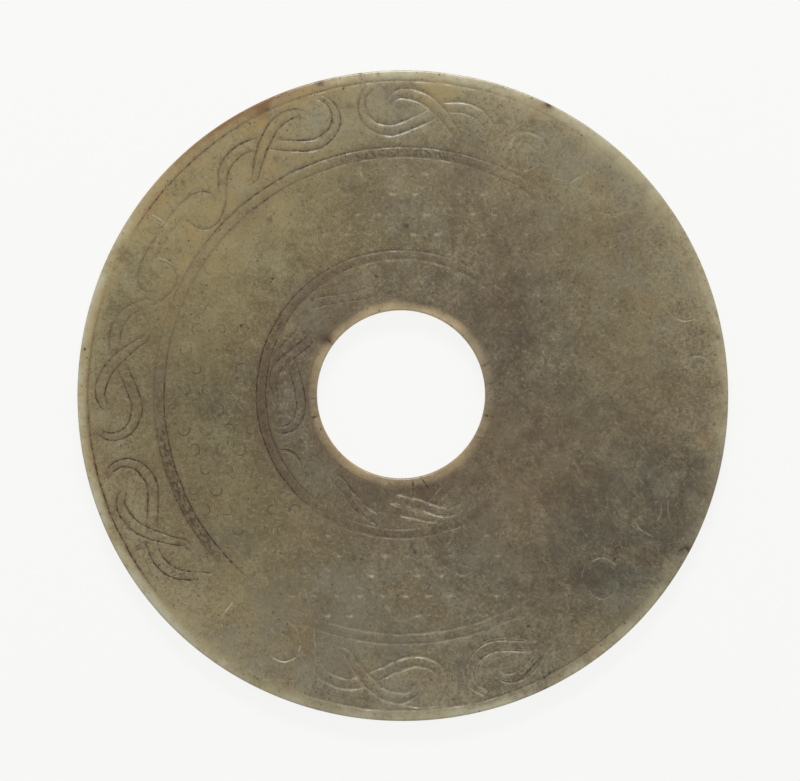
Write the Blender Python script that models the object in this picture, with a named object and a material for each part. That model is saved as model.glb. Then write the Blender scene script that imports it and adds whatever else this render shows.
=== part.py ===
"""Jade bi disc: a flat round disc with a round hole near its middle, carved on its upper face.

The disc lies on its plain face at z = 0, with its carved face up and the box's centre on the z axis.
The carved face has, from the rim inwards: a sloping border, a band of knotted ribbons, a strip
between two lines, a field of low round grains, a second strip, a band of curling ribbons, and the
sloping border of the hole. Long handling has worn one side of the face almost smooth.
"""

import math

import bmesh
import bpy
import numpy as np
from mathutils import Vector
from mathutils.geometry import delaunay_2d_cdt

# The disc, in metres
DISC_DIAMETER = 0.180
THICKNESS = 0.005
HOLE_DIAMETER = 0.0464
HOLE_SHIFT_X = -0.0005
HOLE_SHIFT_Y = 0.00036
OUT_OF_ROUND = 0.0002
EDGE_BEVEL = 0.0004

# The sloping borders of the rim and of the hole
RIM_BORDER_WIDTH = 0.0031
RIM_BORDER_FALL = 0.0003
HOLE_BORDER_WIDTH = 0.0026
HOLE_BORDER_FALL = 0.0003

# The carved bands and the strips between them
OUTER_BAND_WIDTH = 0.0182
OUTER_STRIP_WIDTH = 0.0028
INNER_STRIP_WIDTH = 0.0025
INNER_BAND_WIDTH = 0.0116

# The incised lines
LINE_WIDTH = 0.0006
LINE_DEPTH = 0.00028
BACK_LINE_WIDTH = 0.0006
BACK_LINE_DEPTH = 0.00025
OUTER_RIBBON_WIDTH = 0.0029
INNER_RIBBON_WIDTH = 0.0024
RIBBON_TAPER = 1.6

# The grains
GRAIN_PITCH = 0.00623
GRAIN_ROW_SPACING = 0.00554
GRAIN_ROW_LEAN = 0.00013
GRAIN_DIAMETER = 0.0033
GRAIN_HEIGHT = 0.0003
GRAIN_CLEARANCE = 0.0004
FIRST_GRAIN_X = -0.00837
FIRST_GRAIN_Y = -0.04816
GRAIN_SIDES = 6

# The knots of the outer band: four pairs, each of two mirrored halves
KNOT_PAIRS = 4
FIRST_KNOT_AXIS = 10.8

# One half of a knot pair, from its axis at 0 to the mask's axis at 45, as (place, share of the
# band's width)
HALF_PAIR_SPAN = 45.0
LOOP_RIBBON = (
    (4.6, 0.90), (3.3, 0.79), (2.7, 0.65), (3.0, 0.49), (4.5, 0.35), (6.8, 0.275), (9.0, 0.26),
    (12.0, 0.33), (15.0, 0.44), (17.0, 0.53), (19.2, 0.63), (22.0, 0.68), (24.0, 0.68),
    (26.2, 0.64), (28.0, 0.56), (29.6, 0.44), (30.9, 0.33),
)
CROSSING_RIBBON = (
    (25.2, 0.19), (23.2, 0.22), (21.4, 0.35), (19.0, 0.52), (17.0, 0.64), (15.0, 0.74),
    (12.7, 0.80), (10.5, 0.81), (8.8, 0.75), (8.2, 0.66),
)
EYE_LINE = (
    (30.1, 0.29), (31.8, 0.19), (34.0, 0.10), (36.2, 0.06), (38.3, 0.09), (39.7, 0.18),
    (40.2, 0.30), (40.1, 0.43), (39.8, 0.52),
)
MASK_UPPER_LINE = (
    (45.0, 0.68), (40.5, 0.68), (36.8, 0.66), (34.4, 0.60), (33.1, 0.51), (32.8, 0.41), (33.6, 0.30),
)
MASK_LOWER_LINE = ((45.0, 0.525), (42.5, 0.525), (39.8, 0.52))
MASK_TICK = ((43.7, 0.70), (43.7, 0.88))

# The curls of the inner band: the turn of each one, and its parts as (degrees, share of the width)
CURL_TURNS = (0.0, -121.5, 123.0)
CURL_RIBBON = (
    (195.0, 0.93), (196.8, 0.72), (196.3, 0.47), (192.8, 0.28), (187.5, 0.18), (182.0, 0.17),
    (176.0, 0.21), (170.5, 0.30), (165.5, 0.43), (161.5, 0.59),
)
SWEEP_RIBBON = (
    (182.3, 0.68), (179.5, 0.77), (174.8, 0.83), (169.8, 0.81), (165.0, 0.70), (160.0, 0.54),
    (155.0, 0.40), (150.0, 0.31), (145.0, 0.27),
)
FOLLOWING_LINE = ((162.0, 0.94), (157.5, 0.84), (153.0, 0.75), (147.0, 0.68))
SECOND_SWEEP_UPPER = ((135.5, 0.93), (132.0, 0.84), (128.0, 0.73), (123.5, 0.61), (118.5, 0.50),
                      (113.0, 0.44), (108.0, 0.41))
SECOND_SWEEP_LOWER = (
    (135.5, 0.68), (131.0, 0.58), (127.0, 0.47), (122.0, 0.37), (117.0, 0.28), (112.5, 0.21),
    (107.5, 0.19), (103.5, 0.24), (100.2, 0.36), (96.5, 0.52), (93.5, 0.68), (91.0, 0.86),
)

# What the wear has left of the relief, as (degrees round the disc, share)
OUTER_BAND_LEFT = (
    (0, 0.25), (40, 0.20), (70, 0.40), (74, 0.75), (85, 1.0), (150, 0.85), (170, 1.0), (215, 1.0),
    (232, 0.75), (242, 0.40), (254, 0.60), (261, 1.0), (298, 1.0), (301, 0.40), (345, 0.20),
    (360, 0.25),
)
INNER_BAND_LEFT = (
    (0, 0.20), (62, 0.35), (72, 0.60), (95, 0.60), (103, 0.85), (165, 1.0), (202, 1.0),
    (213, 0.60), (230, 0.65), (246, 0.90), (290, 1.0), (293, 0.40), (315, 0.20), (360, 0.20),
)
FIELD_LEFT = ((0, 0.35), (50, 0.45), (75, 0.90), (120, 0.80), (180, 0.65), (240, 0.80),
              (262, 1.0), (290, 1.0), (312, 0.45), (360, 0.35))
LEAST_LEFT_OF_A_LINE = 0.45

# How finely the faces are divided
RIM_SIDES = 96
HOLE_SIDES = 48
OUTER_RING_SIDES = 84
INNER_RING_SIDES = 60
BACK_RING_SIDES = 48
LONGEST_STEP = 0.0045
LARGEST_TURN = math.radians(24.0)
CURVE_SAMPLES = 14
MERGE_DISTANCE = 0.00002
MILLIMETRE = 0.001
SHARP_ANGLE = math.radians(30.0)

# The stone: linear colour, roughness
JADE_COLOUR = (0.205, 0.188, 0.114, 1.0)
JADE_ROUGHNESS = 0.34

# Derived sizes
RADIUS = DISC_DIAMETER / 2
HOLE_RADIUS = HOLE_DIAMETER / 2
CENTRE = np.array((0.0, 0.0))
HOLE_CENTRE = np.array((HOLE_SHIFT_X, HOLE_SHIFT_Y))
RIM_LINE_RADIUS = RADIUS - RIM_BORDER_WIDTH
OUTER_STRIP_RADIUS = RIM_LINE_RADIUS - OUTER_BAND_WIDTH
FIELD_OUTER_RADIUS = OUTER_STRIP_RADIUS - OUTER_STRIP_WIDTH
HOLE_LINE_RADIUS = HOLE_RADIUS + HOLE_BORDER_WIDTH
INNER_STRIP_RADIUS = HOLE_LINE_RADIUS + INNER_BAND_WIDTH
FIELD_INNER_RADIUS = INNER_STRIP_RADIUS + INNER_STRIP_WIDTH


def left_of_relief(stops, point):
    """Share of the relief that the wear has left at a point, from stops round the disc."""
    angle = np.degrees(np.arctan2(point[..., 1], point[..., 0])) % 360.0
    return np.interp(angle, [stop[0] for stop in stops], [stop[1] for stop in stops])


def circle(centre, radius, sides):
    """Points of a closed circle, anticlockwise."""
    turns = np.arange(sides) * 2.0 * math.pi / sides
    return centre + radius * np.stack((np.cos(turns), np.sin(turns)), axis=1)


def rim_outline(inset):
    """Points of the rim, which four low swellings make slightly out of round."""
    turns = np.arange(RIM_SIDES) * 2.0 * math.pi / RIM_SIDES
    radii = RADIUS - inset - OUT_OF_ROUND * np.cos(4.0 * turns)
    return np.stack((radii * np.cos(turns), radii * np.sin(turns)), axis=1)


def on_band(keys, centre, inner, outer, axis, side):
    """Points of the band between two radii, from (degrees, share) pairs; side -1 mirrors them."""
    angles = np.radians([axis + side * key[0] for key in keys])
    radii = np.array([inner + key[1] * (outer - inner) for key in keys])
    return centre + np.stack((radii * np.cos(angles), radii * np.sin(angles)), axis=1)


def smooth_curve(keys):
    """Close-set points on a smooth curve through the key points."""
    if len(keys) == 2:
        return keys
    padded = np.vstack((2 * keys[0] - keys[1], keys, 2 * keys[-1] - keys[-2]))
    points = []
    for before, start, end, after in zip(padded, padded[1:], padded[2:], padded[3:]):
        for sample in range(CURVE_SAMPLES):
            t = sample / CURVE_SAMPLES
            points.append(0.5 * (2 * start + (end - before) * t
                                 + (2 * before - 5 * start + 4 * end - after) * t * t
                                 + (3 * start - before - 3 * end + after) * t ** 3))
    points.append(keys[-1])
    return np.array(points)


def thin_out(points):
    """Keep the points that a faceted line needs: more where it turns, fewer where it runs straight."""
    kept = [0]
    turned = 0.0
    for index in range(1, len(points) - 1):
        before = points[index] - points[index - 1]
        after = points[index + 1] - points[index]
        cross = before[0] * after[1] - before[1] * after[0]
        turned += abs(math.atan2(cross, before @ after))
        travelled = np.linalg.norm(points[index + 1] - points[kept[-1]])
        if turned > LARGEST_TURN or travelled > LONGEST_STEP:
            kept.append(index)
            turned = 0.0
    kept.append(len(points) - 1)
    return points[kept]


def normals_along(points, closed):
    """Unit normals at the points of a line, to its left."""
    if closed:
        along = np.roll(points, -1, axis=0) - np.roll(points, 1, axis=0)
    else:
        along = np.gradient(points, axis=0)
    along = along / np.linalg.norm(along, axis=1, keepdims=True)
    return np.stack((-along[:, 1], along[:, 0]), axis=1)


def distance_to_line(points, line):
    """Distance from each point to a line, and the line's position of the nearest place."""
    starts = line[:-1]
    spans = line[1:] - starts
    lengths = np.maximum((spans ** 2).sum(axis=1), 1e-18)
    offsets = points[:, None, :] - starts[None, :, :]
    shares = np.clip((offsets * spans).sum(axis=2) / lengths, 0.0, 1.0)
    gaps = np.linalg.norm(offsets - shares[..., None] * spans, axis=2)
    nearest = gaps.argmin(axis=1)
    rows = np.arange(len(points))
    return gaps[rows, nearest], nearest + shares[rows, nearest]


class Groove:
    """An incised line with a V section: its middle, half its width, and its depth at each point."""

    def __init__(self, middle, width, depth, closed=False):
        self.middle = middle
        self.closed = closed
        self.half_width = np.full(len(middle), width / 2)
        self.depth = np.broadcast_to(depth, len(middle)).copy()
        if not closed:
            self.depth[0] = 0.0
            self.depth[-1] = 0.0

    def edges(self):
        """The two edge lines, which meet the middle line at the ends of an open groove."""
        across = normals_along(self.middle, self.closed) * self.half_width[:, None]
        sides = [self.middle + across, self.middle - across]
        if not self.closed:
            for side in sides:
                side[0] = self.middle[0]
                side[-1] = self.middle[-1]
        return sides

    def cut(self, points):
        """Depth of the groove below the face at each point."""
        line = self.middle
        depth = self.depth
        if self.closed:
            line = np.vstack((line, line[:1]))
            depth = np.append(depth, depth[0])
        gap, place = distance_to_line(points, line)
        here = np.interp(place, np.arange(len(line)), depth)
        return here * np.clip(1.0 - gap / self.half_width[0], 0.0, 1.0)


def ring_groove(centre, radius, sides, stops):
    """A line cut right round the face, shallower where the face is worn."""
    middle = circle(centre, radius, sides)
    return Groove(middle, LINE_WIDTH, LINE_DEPTH * left_of_relief(stops, middle), closed=True)


def unbroken_runs(points, kept):
    """The stretches of a line whose points are all kept."""
    runs = []
    run = []
    for point, keep in zip(points, kept):
        if keep:
            run.append(point)
        elif run:
            runs.append(np.array(run))
            run = []
    if run:
        runs.append(np.array(run))
    return [run for run in runs if len(run) > 2]


def line_grooves(points, stops, over=(), ribbon_width=0.0):
    """Grooves along a close-set line, left out where it is worn away or passes under a ribbon."""
    if len(points) == 2:
        points = points[0] + np.linspace(0, 1, CURVE_SAMPLES)[:, None] * (points[1] - points[0])
    kept = left_of_relief(stops, points) > LEAST_LEFT_OF_A_LINE
    for ribbon in over:
        kept &= distance_to_line(points, ribbon)[0] > ribbon_width / 2
    grooves = []
    for run in unbroken_runs(points, kept):
        middle = thin_out(run)
        if np.linalg.norm(np.diff(middle, axis=0), axis=1).sum() > 3 * LINE_WIDTH:
            grooves.append(Groove(middle, LINE_WIDTH, LINE_DEPTH * left_of_relief(stops, middle)))
    return grooves


def ribbon_sides(middle, width, start_share, end_share):
    """The two edge lines of a ribbon, which narrows towards its ends."""
    place = np.linspace(0.0, 1.0, len(middle))
    share = np.minimum(start_share + RIBBON_TAPER * place, end_share + RIBBON_TAPER * (1.0 - place))
    across = normals_along(middle, False) * (width / 2 * np.minimum(share, 1.0))[:, None]
    return middle + across, middle - across


def outer_band_grooves():
    """The knots of the outer band and the masks between them."""
    band = (CENTRE, OUTER_STRIP_RADIUS, RIM_LINE_RADIUS)
    stretch = 180.0 / KNOT_PAIRS / HALF_PAIR_SPAN
    grooves = []
    for pair in range(KNOT_PAIRS):
        axis = FIRST_KNOT_AXIS + pair * 360.0 / KNOT_PAIRS
        for side in (stretch, -stretch):
            loop = smooth_curve(on_band(LOOP_RIBBON, *band, axis, side))
            crossing = smooth_curve(on_band(CROSSING_RIBBON, *band, axis, side))
            for line in ribbon_sides(crossing, OUTER_RIBBON_WIDTH, 0.4, 0.5):
                grooves += line_grooves(line, OUTER_BAND_LEFT)
            for line in ribbon_sides(loop, OUTER_RIBBON_WIDTH, 0.5, 0.7):
                grooves += line_grooves(line, OUTER_BAND_LEFT, (crossing,), OUTER_RIBBON_WIDTH)
            for keys in (EYE_LINE, MASK_UPPER_LINE, MASK_LOWER_LINE, MASK_TICK):
                line = smooth_curve(on_band(keys, *band, axis, side))
                grooves += line_grooves(line, OUTER_BAND_LEFT)
    return grooves


def inner_band_grooves():
    """The curls and sweeps of the inner band."""
    band = (HOLE_CENTRE, HOLE_LINE_RADIUS, INNER_STRIP_RADIUS)
    grooves = []
    for turn in CURL_TURNS:
        curl = smooth_curve(on_band(CURL_RIBBON, *band, turn, 1.0))
        sweep = smooth_curve(on_band(SWEEP_RIBBON, *band, turn, 1.0))
        for line in ribbon_sides(sweep, INNER_RIBBON_WIDTH, 0.3, 1.0):
            grooves += line_grooves(line, INNER_BAND_LEFT)
        for line in ribbon_sides(curl, INNER_RIBBON_WIDTH, 0.6, 1.0):
            grooves += line_grooves(line, INNER_BAND_LEFT, (sweep,), INNER_RIBBON_WIDTH)
        for keys in (FOLLOWING_LINE, SECOND_SWEEP_UPPER, SECOND_SWEEP_LOWER):
            line = smooth_curve(on_band(keys, *band, turn, 1.0))
            grooves += line_grooves(line, INNER_BAND_LEFT)
    return grooves


def grain_centres():
    """Centres of the grains: staggered rows that fill the field between the two strips."""
    margin = GRAIN_DIAMETER / 2 + GRAIN_CLEARANCE + LINE_WIDTH / 2
    first = np.array((FIRST_GRAIN_X, FIRST_GRAIN_Y))
    reach = int(DISC_DIAMETER / min(GRAIN_PITCH, GRAIN_ROW_SPACING)) + 1
    centres = []
    for row in range(-reach, reach + 1):
        stagger = GRAIN_PITCH / 2 * (row % 2) + GRAIN_ROW_LEAN * row
        for column in range(-reach, reach + 1):
            place = first + (column * GRAIN_PITCH + stagger, row * GRAIN_ROW_SPACING)
            inside = np.linalg.norm(place - CENTRE) < FIELD_OUTER_RADIUS - margin
            outside = np.linalg.norm(place - HOLE_CENTRE) > FIELD_INNER_RADIUS + margin
            if inside and outside:
                centres.append(place)
    return np.array(centres)


class FaceOutline:
    """The points and edges that a face's triangles follow."""

    def __init__(self):
        self.points = []
        self.edges = []

    def add(self, points, closed):
        first = len(self.points)
        self.points.extend(points)
        last = len(self.points) - 1
        self.edges.extend((index, index + 1) for index in range(first, last))
        if closed:
            self.edges.append((last, first))

    def add_grooves(self, grooves):
        for groove in grooves:
            for line in (groove.middle, *groove.edges()):
                self.add(line, groove.closed)


def border_fall(points):
    """How far the sloping borders lie below the face."""
    from_centre = np.linalg.norm(points - CENTRE, axis=1)
    from_hole = np.linalg.norm(points - HOLE_CENTRE, axis=1)
    rim_share = (from_centre - RIM_LINE_RADIUS) / (RIM_BORDER_WIDTH - EDGE_BEVEL)
    hole_share = (HOLE_LINE_RADIUS - from_hole) / (HOLE_BORDER_WIDTH - EDGE_BEVEL)
    return (RIM_BORDER_FALL * np.clip(rim_share, 0.0, 1.0)
            + HOLE_BORDER_FALL * np.clip(hole_share, 0.0, 1.0))


def field_fall(points, grains):
    """How far the ground of the grain field lies below the face, with the grains left standing."""
    from_centre = np.linalg.norm(points - CENTRE, axis=1)
    from_hole = np.linalg.norm(points - HOLE_CENTRE, axis=1)
    half_line = LINE_WIDTH / 2
    outer_share = (FIELD_OUTER_RADIUS + half_line - from_centre) / LINE_WIDTH
    inner_share = (from_hole - FIELD_INNER_RADIUS + half_line) / LINE_WIDTH
    in_field = np.clip(np.minimum(outer_share, inner_share), 0.0, 1.0)
    if len(grains):
        gap = np.linalg.norm(points[:, None, :] - grains[None, :, :], axis=2).min(axis=1)
    else:
        gap = np.full(len(points), GRAIN_DIAMETER)
    ground = np.clip(gap / (GRAIN_DIAMETER / 2), 0.0, 1.0)
    return GRAIN_HEIGHT * left_of_relief(FIELD_LEFT, points) * in_field * ground


def face_triangles(outline, rim, hole):
    """Triangles that fill the ring between rim and hole and follow every line of the outline."""
    outline.add(rim, True)
    outline.add(hole, True)
    flat = [Vector(point / MILLIMETRE) for point in outline.points]
    result = delaunay_2d_cdt(flat, outline.edges, [], 0, MERGE_DISTANCE / MILLIMETRE, False)
    points = np.array([tuple(vertex) for vertex in result[0]]) * MILLIMETRE
    hole_reach = np.linalg.norm(hole - HOLE_CENTRE, axis=1).min() * math.cos(math.pi / HOLE_SIDES)
    triangles = []
    for triangle in result[2]:
        middle = points[list(triangle)].mean(axis=0)
        if np.linalg.norm(middle - HOLE_CENTRE) > hole_reach:
            triangles.append(tuple(triangle))
    return points, triangles


def add_face(bm, points, heights, triangles, facing_down):
    """Add a carved face and return its outer and inner boundary rings in order round the disc."""
    vertices = [bm.verts.new((*point, height)) for point, height in zip(points, heights)]
    for triangle in triangles:
        corners = [vertices[index] for index in triangle]
        if facing_down:
            corners.reverse()
        bm.faces.new(corners)
    boundary = [vertex for vertex in vertices if vertex.is_boundary and vertex.link_faces]
    for vertex in [vertex for vertex in vertices if not vertex.link_faces]:
        bm.verts.remove(vertex)
    middle_radius = (FIELD_OUTER_RADIUS + FIELD_INNER_RADIUS) / 2
    rings = []
    for outer in (True, False):
        ring = [vertex for vertex in boundary if (vertex.co.xy.length > middle_radius) == outer]
        hub = Vector(CENTRE if outer else HOLE_CENTRE)
        ring.sort(key=lambda vertex: math.atan2(*reversed(vertex.co.xy - hub)) % (2 * math.pi))
        rings.append(ring)
    return rings


def add_wall(bm, rings):
    """Join a run of rings, each with as many points, by bands of faces."""
    for lower, upper in zip(rings, rings[1:]):
        count = len(lower)
        for index in range(count):
            following = (index + 1) % count
            bm.faces.new((lower[index], lower[following], upper[following], upper[index]))


def new_ring(bm, points, height):
    """A ring of vertices at one height."""
    return [bm.verts.new((*point, height)) for point in points]


def carved_outline(grooves, grains):
    """Every line of the carved face."""
    outline = FaceOutline()
    outline.add_grooves(grooves)
    for centre in grains:
        outline.add(circle(centre, GRAIN_DIAMETER / 2, GRAIN_SIDES), True)
        outline.points.append(centre)
    return outline


def front_grooves():
    """All the incised lines of the carved face."""
    rings = (
        (CENTRE, RIM_LINE_RADIUS, OUTER_RING_SIDES, OUTER_BAND_LEFT),
        (CENTRE, OUTER_STRIP_RADIUS, OUTER_RING_SIDES, OUTER_BAND_LEFT),
        (CENTRE, FIELD_OUTER_RADIUS, OUTER_RING_SIDES, OUTER_BAND_LEFT),
        (HOLE_CENTRE, FIELD_INNER_RADIUS, INNER_RING_SIDES, INNER_BAND_LEFT),
        (HOLE_CENTRE, INNER_STRIP_RADIUS, INNER_RING_SIDES, INNER_BAND_LEFT),
        (HOLE_CENTRE, HOLE_LINE_RADIUS, HOLE_SIDES, INNER_BAND_LEFT),
    )
    grooves = [ring_groove(*ring) for ring in rings]
    return grooves + outer_band_grooves() + inner_band_grooves()


def back_grooves():
    """The plainer lines of the back: the edges of its borders and of its bands."""
    rings = (
        (CENTRE, RIM_LINE_RADIUS, BACK_RING_SIDES),
        (CENTRE, OUTER_STRIP_RADIUS, BACK_RING_SIDES),
        (HOLE_CENTRE, INNER_STRIP_RADIUS, HOLE_SIDES),
        (HOLE_CENTRE, HOLE_LINE_RADIUS, HOLE_SIDES),
    )
    return [Groove(circle(*ring), BACK_LINE_WIDTH, BACK_LINE_DEPTH, closed=True) for ring in rings]


def total_cut(grooves, points):
    """The deepest groove at each point."""
    cut = np.zeros(len(points))
    for groove in grooves:
        cut = np.maximum(cut, groove.cut(points))
    return cut


def build_disc():
    """The whole disc as one closed body."""
    bm = bmesh.new()
    rim = rim_outline(EDGE_BEVEL)
    hole = circle(HOLE_CENTRE, HOLE_RADIUS + EDGE_BEVEL, HOLE_SIDES)

    grooves = front_grooves()
    grains = grain_centres()
    points, triangles = face_triangles(carved_outline(grooves, grains), rim, hole)
    fall = np.maximum(total_cut(grooves, points), field_fall(points, grains)) + border_fall(points)
    top_rings = add_face(bm, points, THICKNESS - fall, triangles, False)

    grooves = back_grooves()
    outline = FaceOutline()
    outline.add_grooves(grooves)
    points, triangles = face_triangles(outline, rim, hole)
    base_rings = add_face(bm, points, total_cut(grooves, points), triangles, True)

    outer_wall = [
        base_rings[0],
        new_ring(bm, rim_outline(0.0), EDGE_BEVEL),
        new_ring(bm, rim_outline(0.0), THICKNESS - RIM_BORDER_FALL - EDGE_BEVEL),
        top_rings[0],
    ]
    add_wall(bm, outer_wall)
    bore = circle(HOLE_CENTRE, HOLE_RADIUS, HOLE_SIDES)
    inner_wall = [
        top_rings[1],
        new_ring(bm, bore, THICKNESS - HOLE_BORDER_FALL - EDGE_BEVEL),
        new_ring(bm, bore, EDGE_BEVEL),
        base_rings[1],
    ]
    add_wall(bm, inner_wall)
    return bm


def jade_material():
    """Olive jade with a soft polish."""
    material = bpy.data.materials.new("jade")
    material.use_nodes = True
    shader = material.node_tree.nodes["Principled BSDF"]
    shader.inputs["Base Color"].default_value = JADE_COLOUR
    shader.inputs["Roughness"].default_value = JADE_ROUGHNESS
    shader.inputs["Metallic"].default_value = 0.0
    return material


def main():
    for old in list(bpy.data.objects):
        bpy.data.objects.remove(old)
    bm = build_disc()
    mesh = bpy.data.meshes.new("jade_disc")
    bm.to_mesh(mesh)
    bm.free()
    mesh.materials.append(jade_material())
    mesh.shade_smooth()
    mesh.set_sharp_from_angle(angle=SHARP_ANGLE)
    disc = bpy.data.objects.new("jade_disc", mesh)
    bpy.context.scene.collection.objects.link(disc)


main()
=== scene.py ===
"""Looks of the jade bi disc: the worn carving as a fine mesh, the stone, the camera and the light."""

import math

import bmesh
import bpy
import numpy as np
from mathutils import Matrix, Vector, noise
from mathutils.geometry import delaunay_2d_cdt


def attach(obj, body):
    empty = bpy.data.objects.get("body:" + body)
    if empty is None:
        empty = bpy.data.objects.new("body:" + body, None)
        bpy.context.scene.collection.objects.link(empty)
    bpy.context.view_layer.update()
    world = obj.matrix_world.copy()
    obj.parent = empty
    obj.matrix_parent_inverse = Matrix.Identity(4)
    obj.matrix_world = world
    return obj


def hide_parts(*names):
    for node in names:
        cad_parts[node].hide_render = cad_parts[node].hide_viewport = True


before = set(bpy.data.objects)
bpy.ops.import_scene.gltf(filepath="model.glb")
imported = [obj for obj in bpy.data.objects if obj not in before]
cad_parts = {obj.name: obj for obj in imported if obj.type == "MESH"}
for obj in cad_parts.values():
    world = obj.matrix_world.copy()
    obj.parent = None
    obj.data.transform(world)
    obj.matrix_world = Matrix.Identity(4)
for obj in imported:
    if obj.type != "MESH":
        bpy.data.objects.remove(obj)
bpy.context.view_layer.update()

# The disc's sizes in metres, the same as the solid's
RADIUS = 0.090
THICKNESS = 0.005
HOLE_RADIUS = 0.0232
HOLE_CENTRE = np.array((-0.0005, 0.00036))
CENTRE = np.array((0.0, 0.0))
OUT_OF_ROUND = 0.0002
RIM_LINE_RADIUS = 0.0869
OUTER_STRIP_RADIUS = 0.0687
FIELD_OUTER_RADIUS = 0.0659
FIELD_INNER_RADIUS = 0.0399
INNER_STRIP_RADIUS = 0.0374
HOLE_LINE_RADIUS = 0.0258
BORDER_FALL = 0.0003
EDGE_ROUNDING = 0.00055
SKIN = 0.00001

# The incised lines
NARROW_LINE = 0.00062
BROAD_LINE = 0.00120
NARROW_DEPTH = 0.00014
BROAD_DEPTH = 0.00030
CRACK_WIDTH = 0.0004
CRACK_DEPTH = 0.00008
BACK_LINE_WIDTH = 0.00064
BACK_LINE_DEPTH = 0.00024
HAND_WOBBLE = 0.00016
HAND_SHAKE = 0.00009
END_RAMP_POINTS = 6
END_RAMP_START = 0.2
OUTER_RIBBON_WIDTH = 0.0029
INNER_RIBBON_WIDTH = 0.0024
RIBBON_TAPER = 1.6

# The grains
GRAIN_PITCH = 0.00623
GRAIN_ROW_SPACING = 0.00554
GRAIN_ROW_LEAN = 0.00013
GRAIN_RADIUS = 0.00150
GRAIN_HEIGHT = 0.00012
GRAIN_RING_WIDTH = 0.00090
GRAIN_RING_DEPTH = 0.00020
GRAIN_ROWS_EACH_WAY = 40
FIRST_GRAIN = np.array((-0.00837, -0.04816))

# One half of a knot pair, from its axis at 0 to the mask's axis at 45, as (degrees, share of the
# band's width)
KNOT_AXES = (10.8, 100.8, 190.8, 280.8)
LOOP_RIBBON = (
    (4.6, 0.90), (3.3, 0.79), (2.7, 0.65), (3.0, 0.49), (4.5, 0.35), (6.8, 0.275), (9.0, 0.26),
    (12.0, 0.33), (15.0, 0.44), (17.0, 0.53), (19.2, 0.63), (22.0, 0.68), (24.0, 0.68),
    (26.2, 0.64), (28.0, 0.56), (29.6, 0.44), (30.9, 0.33),
)
CROSSING_RIBBON = (
    (25.2, 0.19), (23.2, 0.22), (21.4, 0.35), (19.0, 0.52), (17.0, 0.64), (15.0, 0.74),
    (12.7, 0.80), (10.5, 0.81), (8.8, 0.75), (8.2, 0.66),
)
EYE_LINE = (
    (30.1, 0.29), (31.8, 0.19), (34.0, 0.10), (36.2, 0.06), (38.3, 0.09), (39.7, 0.18),
    (40.2, 0.30), (40.1, 0.43), (39.8, 0.52),
)
MASK_UPPER_LINE = (
    (45.0, 0.68), (40.5, 0.68), (36.8, 0.66), (34.4, 0.60), (33.1, 0.51), (32.8, 0.41), (33.6, 0.30),
)
MASK_LOWER_LINE = ((45.0, 0.525), (42.5, 0.525), (39.8, 0.52))
MASK_TICK = ((43.7, 0.70), (43.7, 0.88))

# The curls of the inner band: the turn of each one, and its parts as (degrees, share of the width)
CURL_TURNS = (0.0, -121.5, 123.0)
CURL_RIBBON = (
    (195.0, 0.93), (196.8, 0.72), (196.3, 0.47), (192.8, 0.28), (187.5, 0.18), (182.0, 0.17),
    (176.0, 0.21), (170.5, 0.30), (165.5, 0.43), (161.5, 0.59),
)
SWEEP_RIBBON = (
    (182.3, 0.68), (179.5, 0.77), (174.8, 0.83), (169.8, 0.81), (165.0, 0.70), (160.0, 0.54),
    (155.0, 0.40), (150.0, 0.31), (145.0, 0.27),
)
FOLLOWING_LINE = ((162.0, 0.94), (157.5, 0.84), (153.0, 0.75), (147.0, 0.68))
SECOND_SWEEP_UPPER = ((135.5, 0.93), (132.0, 0.84), (128.0, 0.73), (123.5, 0.61), (118.5, 0.50),
                      (113.0, 0.44), (108.0, 0.41))
SECOND_SWEEP_LOWER = (
    (135.5, 0.68), (131.0, 0.58), (127.0, 0.47), (122.0, 0.37), (117.0, 0.28), (112.5, 0.21),
    (107.5, 0.19), (103.5, 0.24), (100.2, 0.36), (96.5, 0.52), (93.5, 0.68), (91.0, 0.86),
)

# Cracks at the hole and at the rim, as (degrees, millimetres from the hole's or the rim's centre)
HOLE_CRACKS = (
    ((143.5, 22.6), (143.0, 25.0), (142.0, 26.4)),
    ((183.0, 22.6), (183.4, 25.6)),
    ((194.2, 22.6), (195.0, 25.4), (195.4, 26.3)),
    ((282.7, 22.6), (284.6, 25.1), (286.3, 27.4), (286.1, 28.6)),
    ((278.5, 22.6), (277.3, 26.1), (276.7, 28.4)),
    ((330.0, 22.6), (330.6, 25.6)),
    ((345.5, 22.6), (346.0, 26.4)),
    ((7.0, 22.6), (6.6, 26.0)),
    ((19.0, 22.6), (18.6, 25.8)),
)
RIM_CRACKS = (
    ((331.4, 90.3), (331.8, 88.4), (331.2, 87.2)),
)

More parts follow.
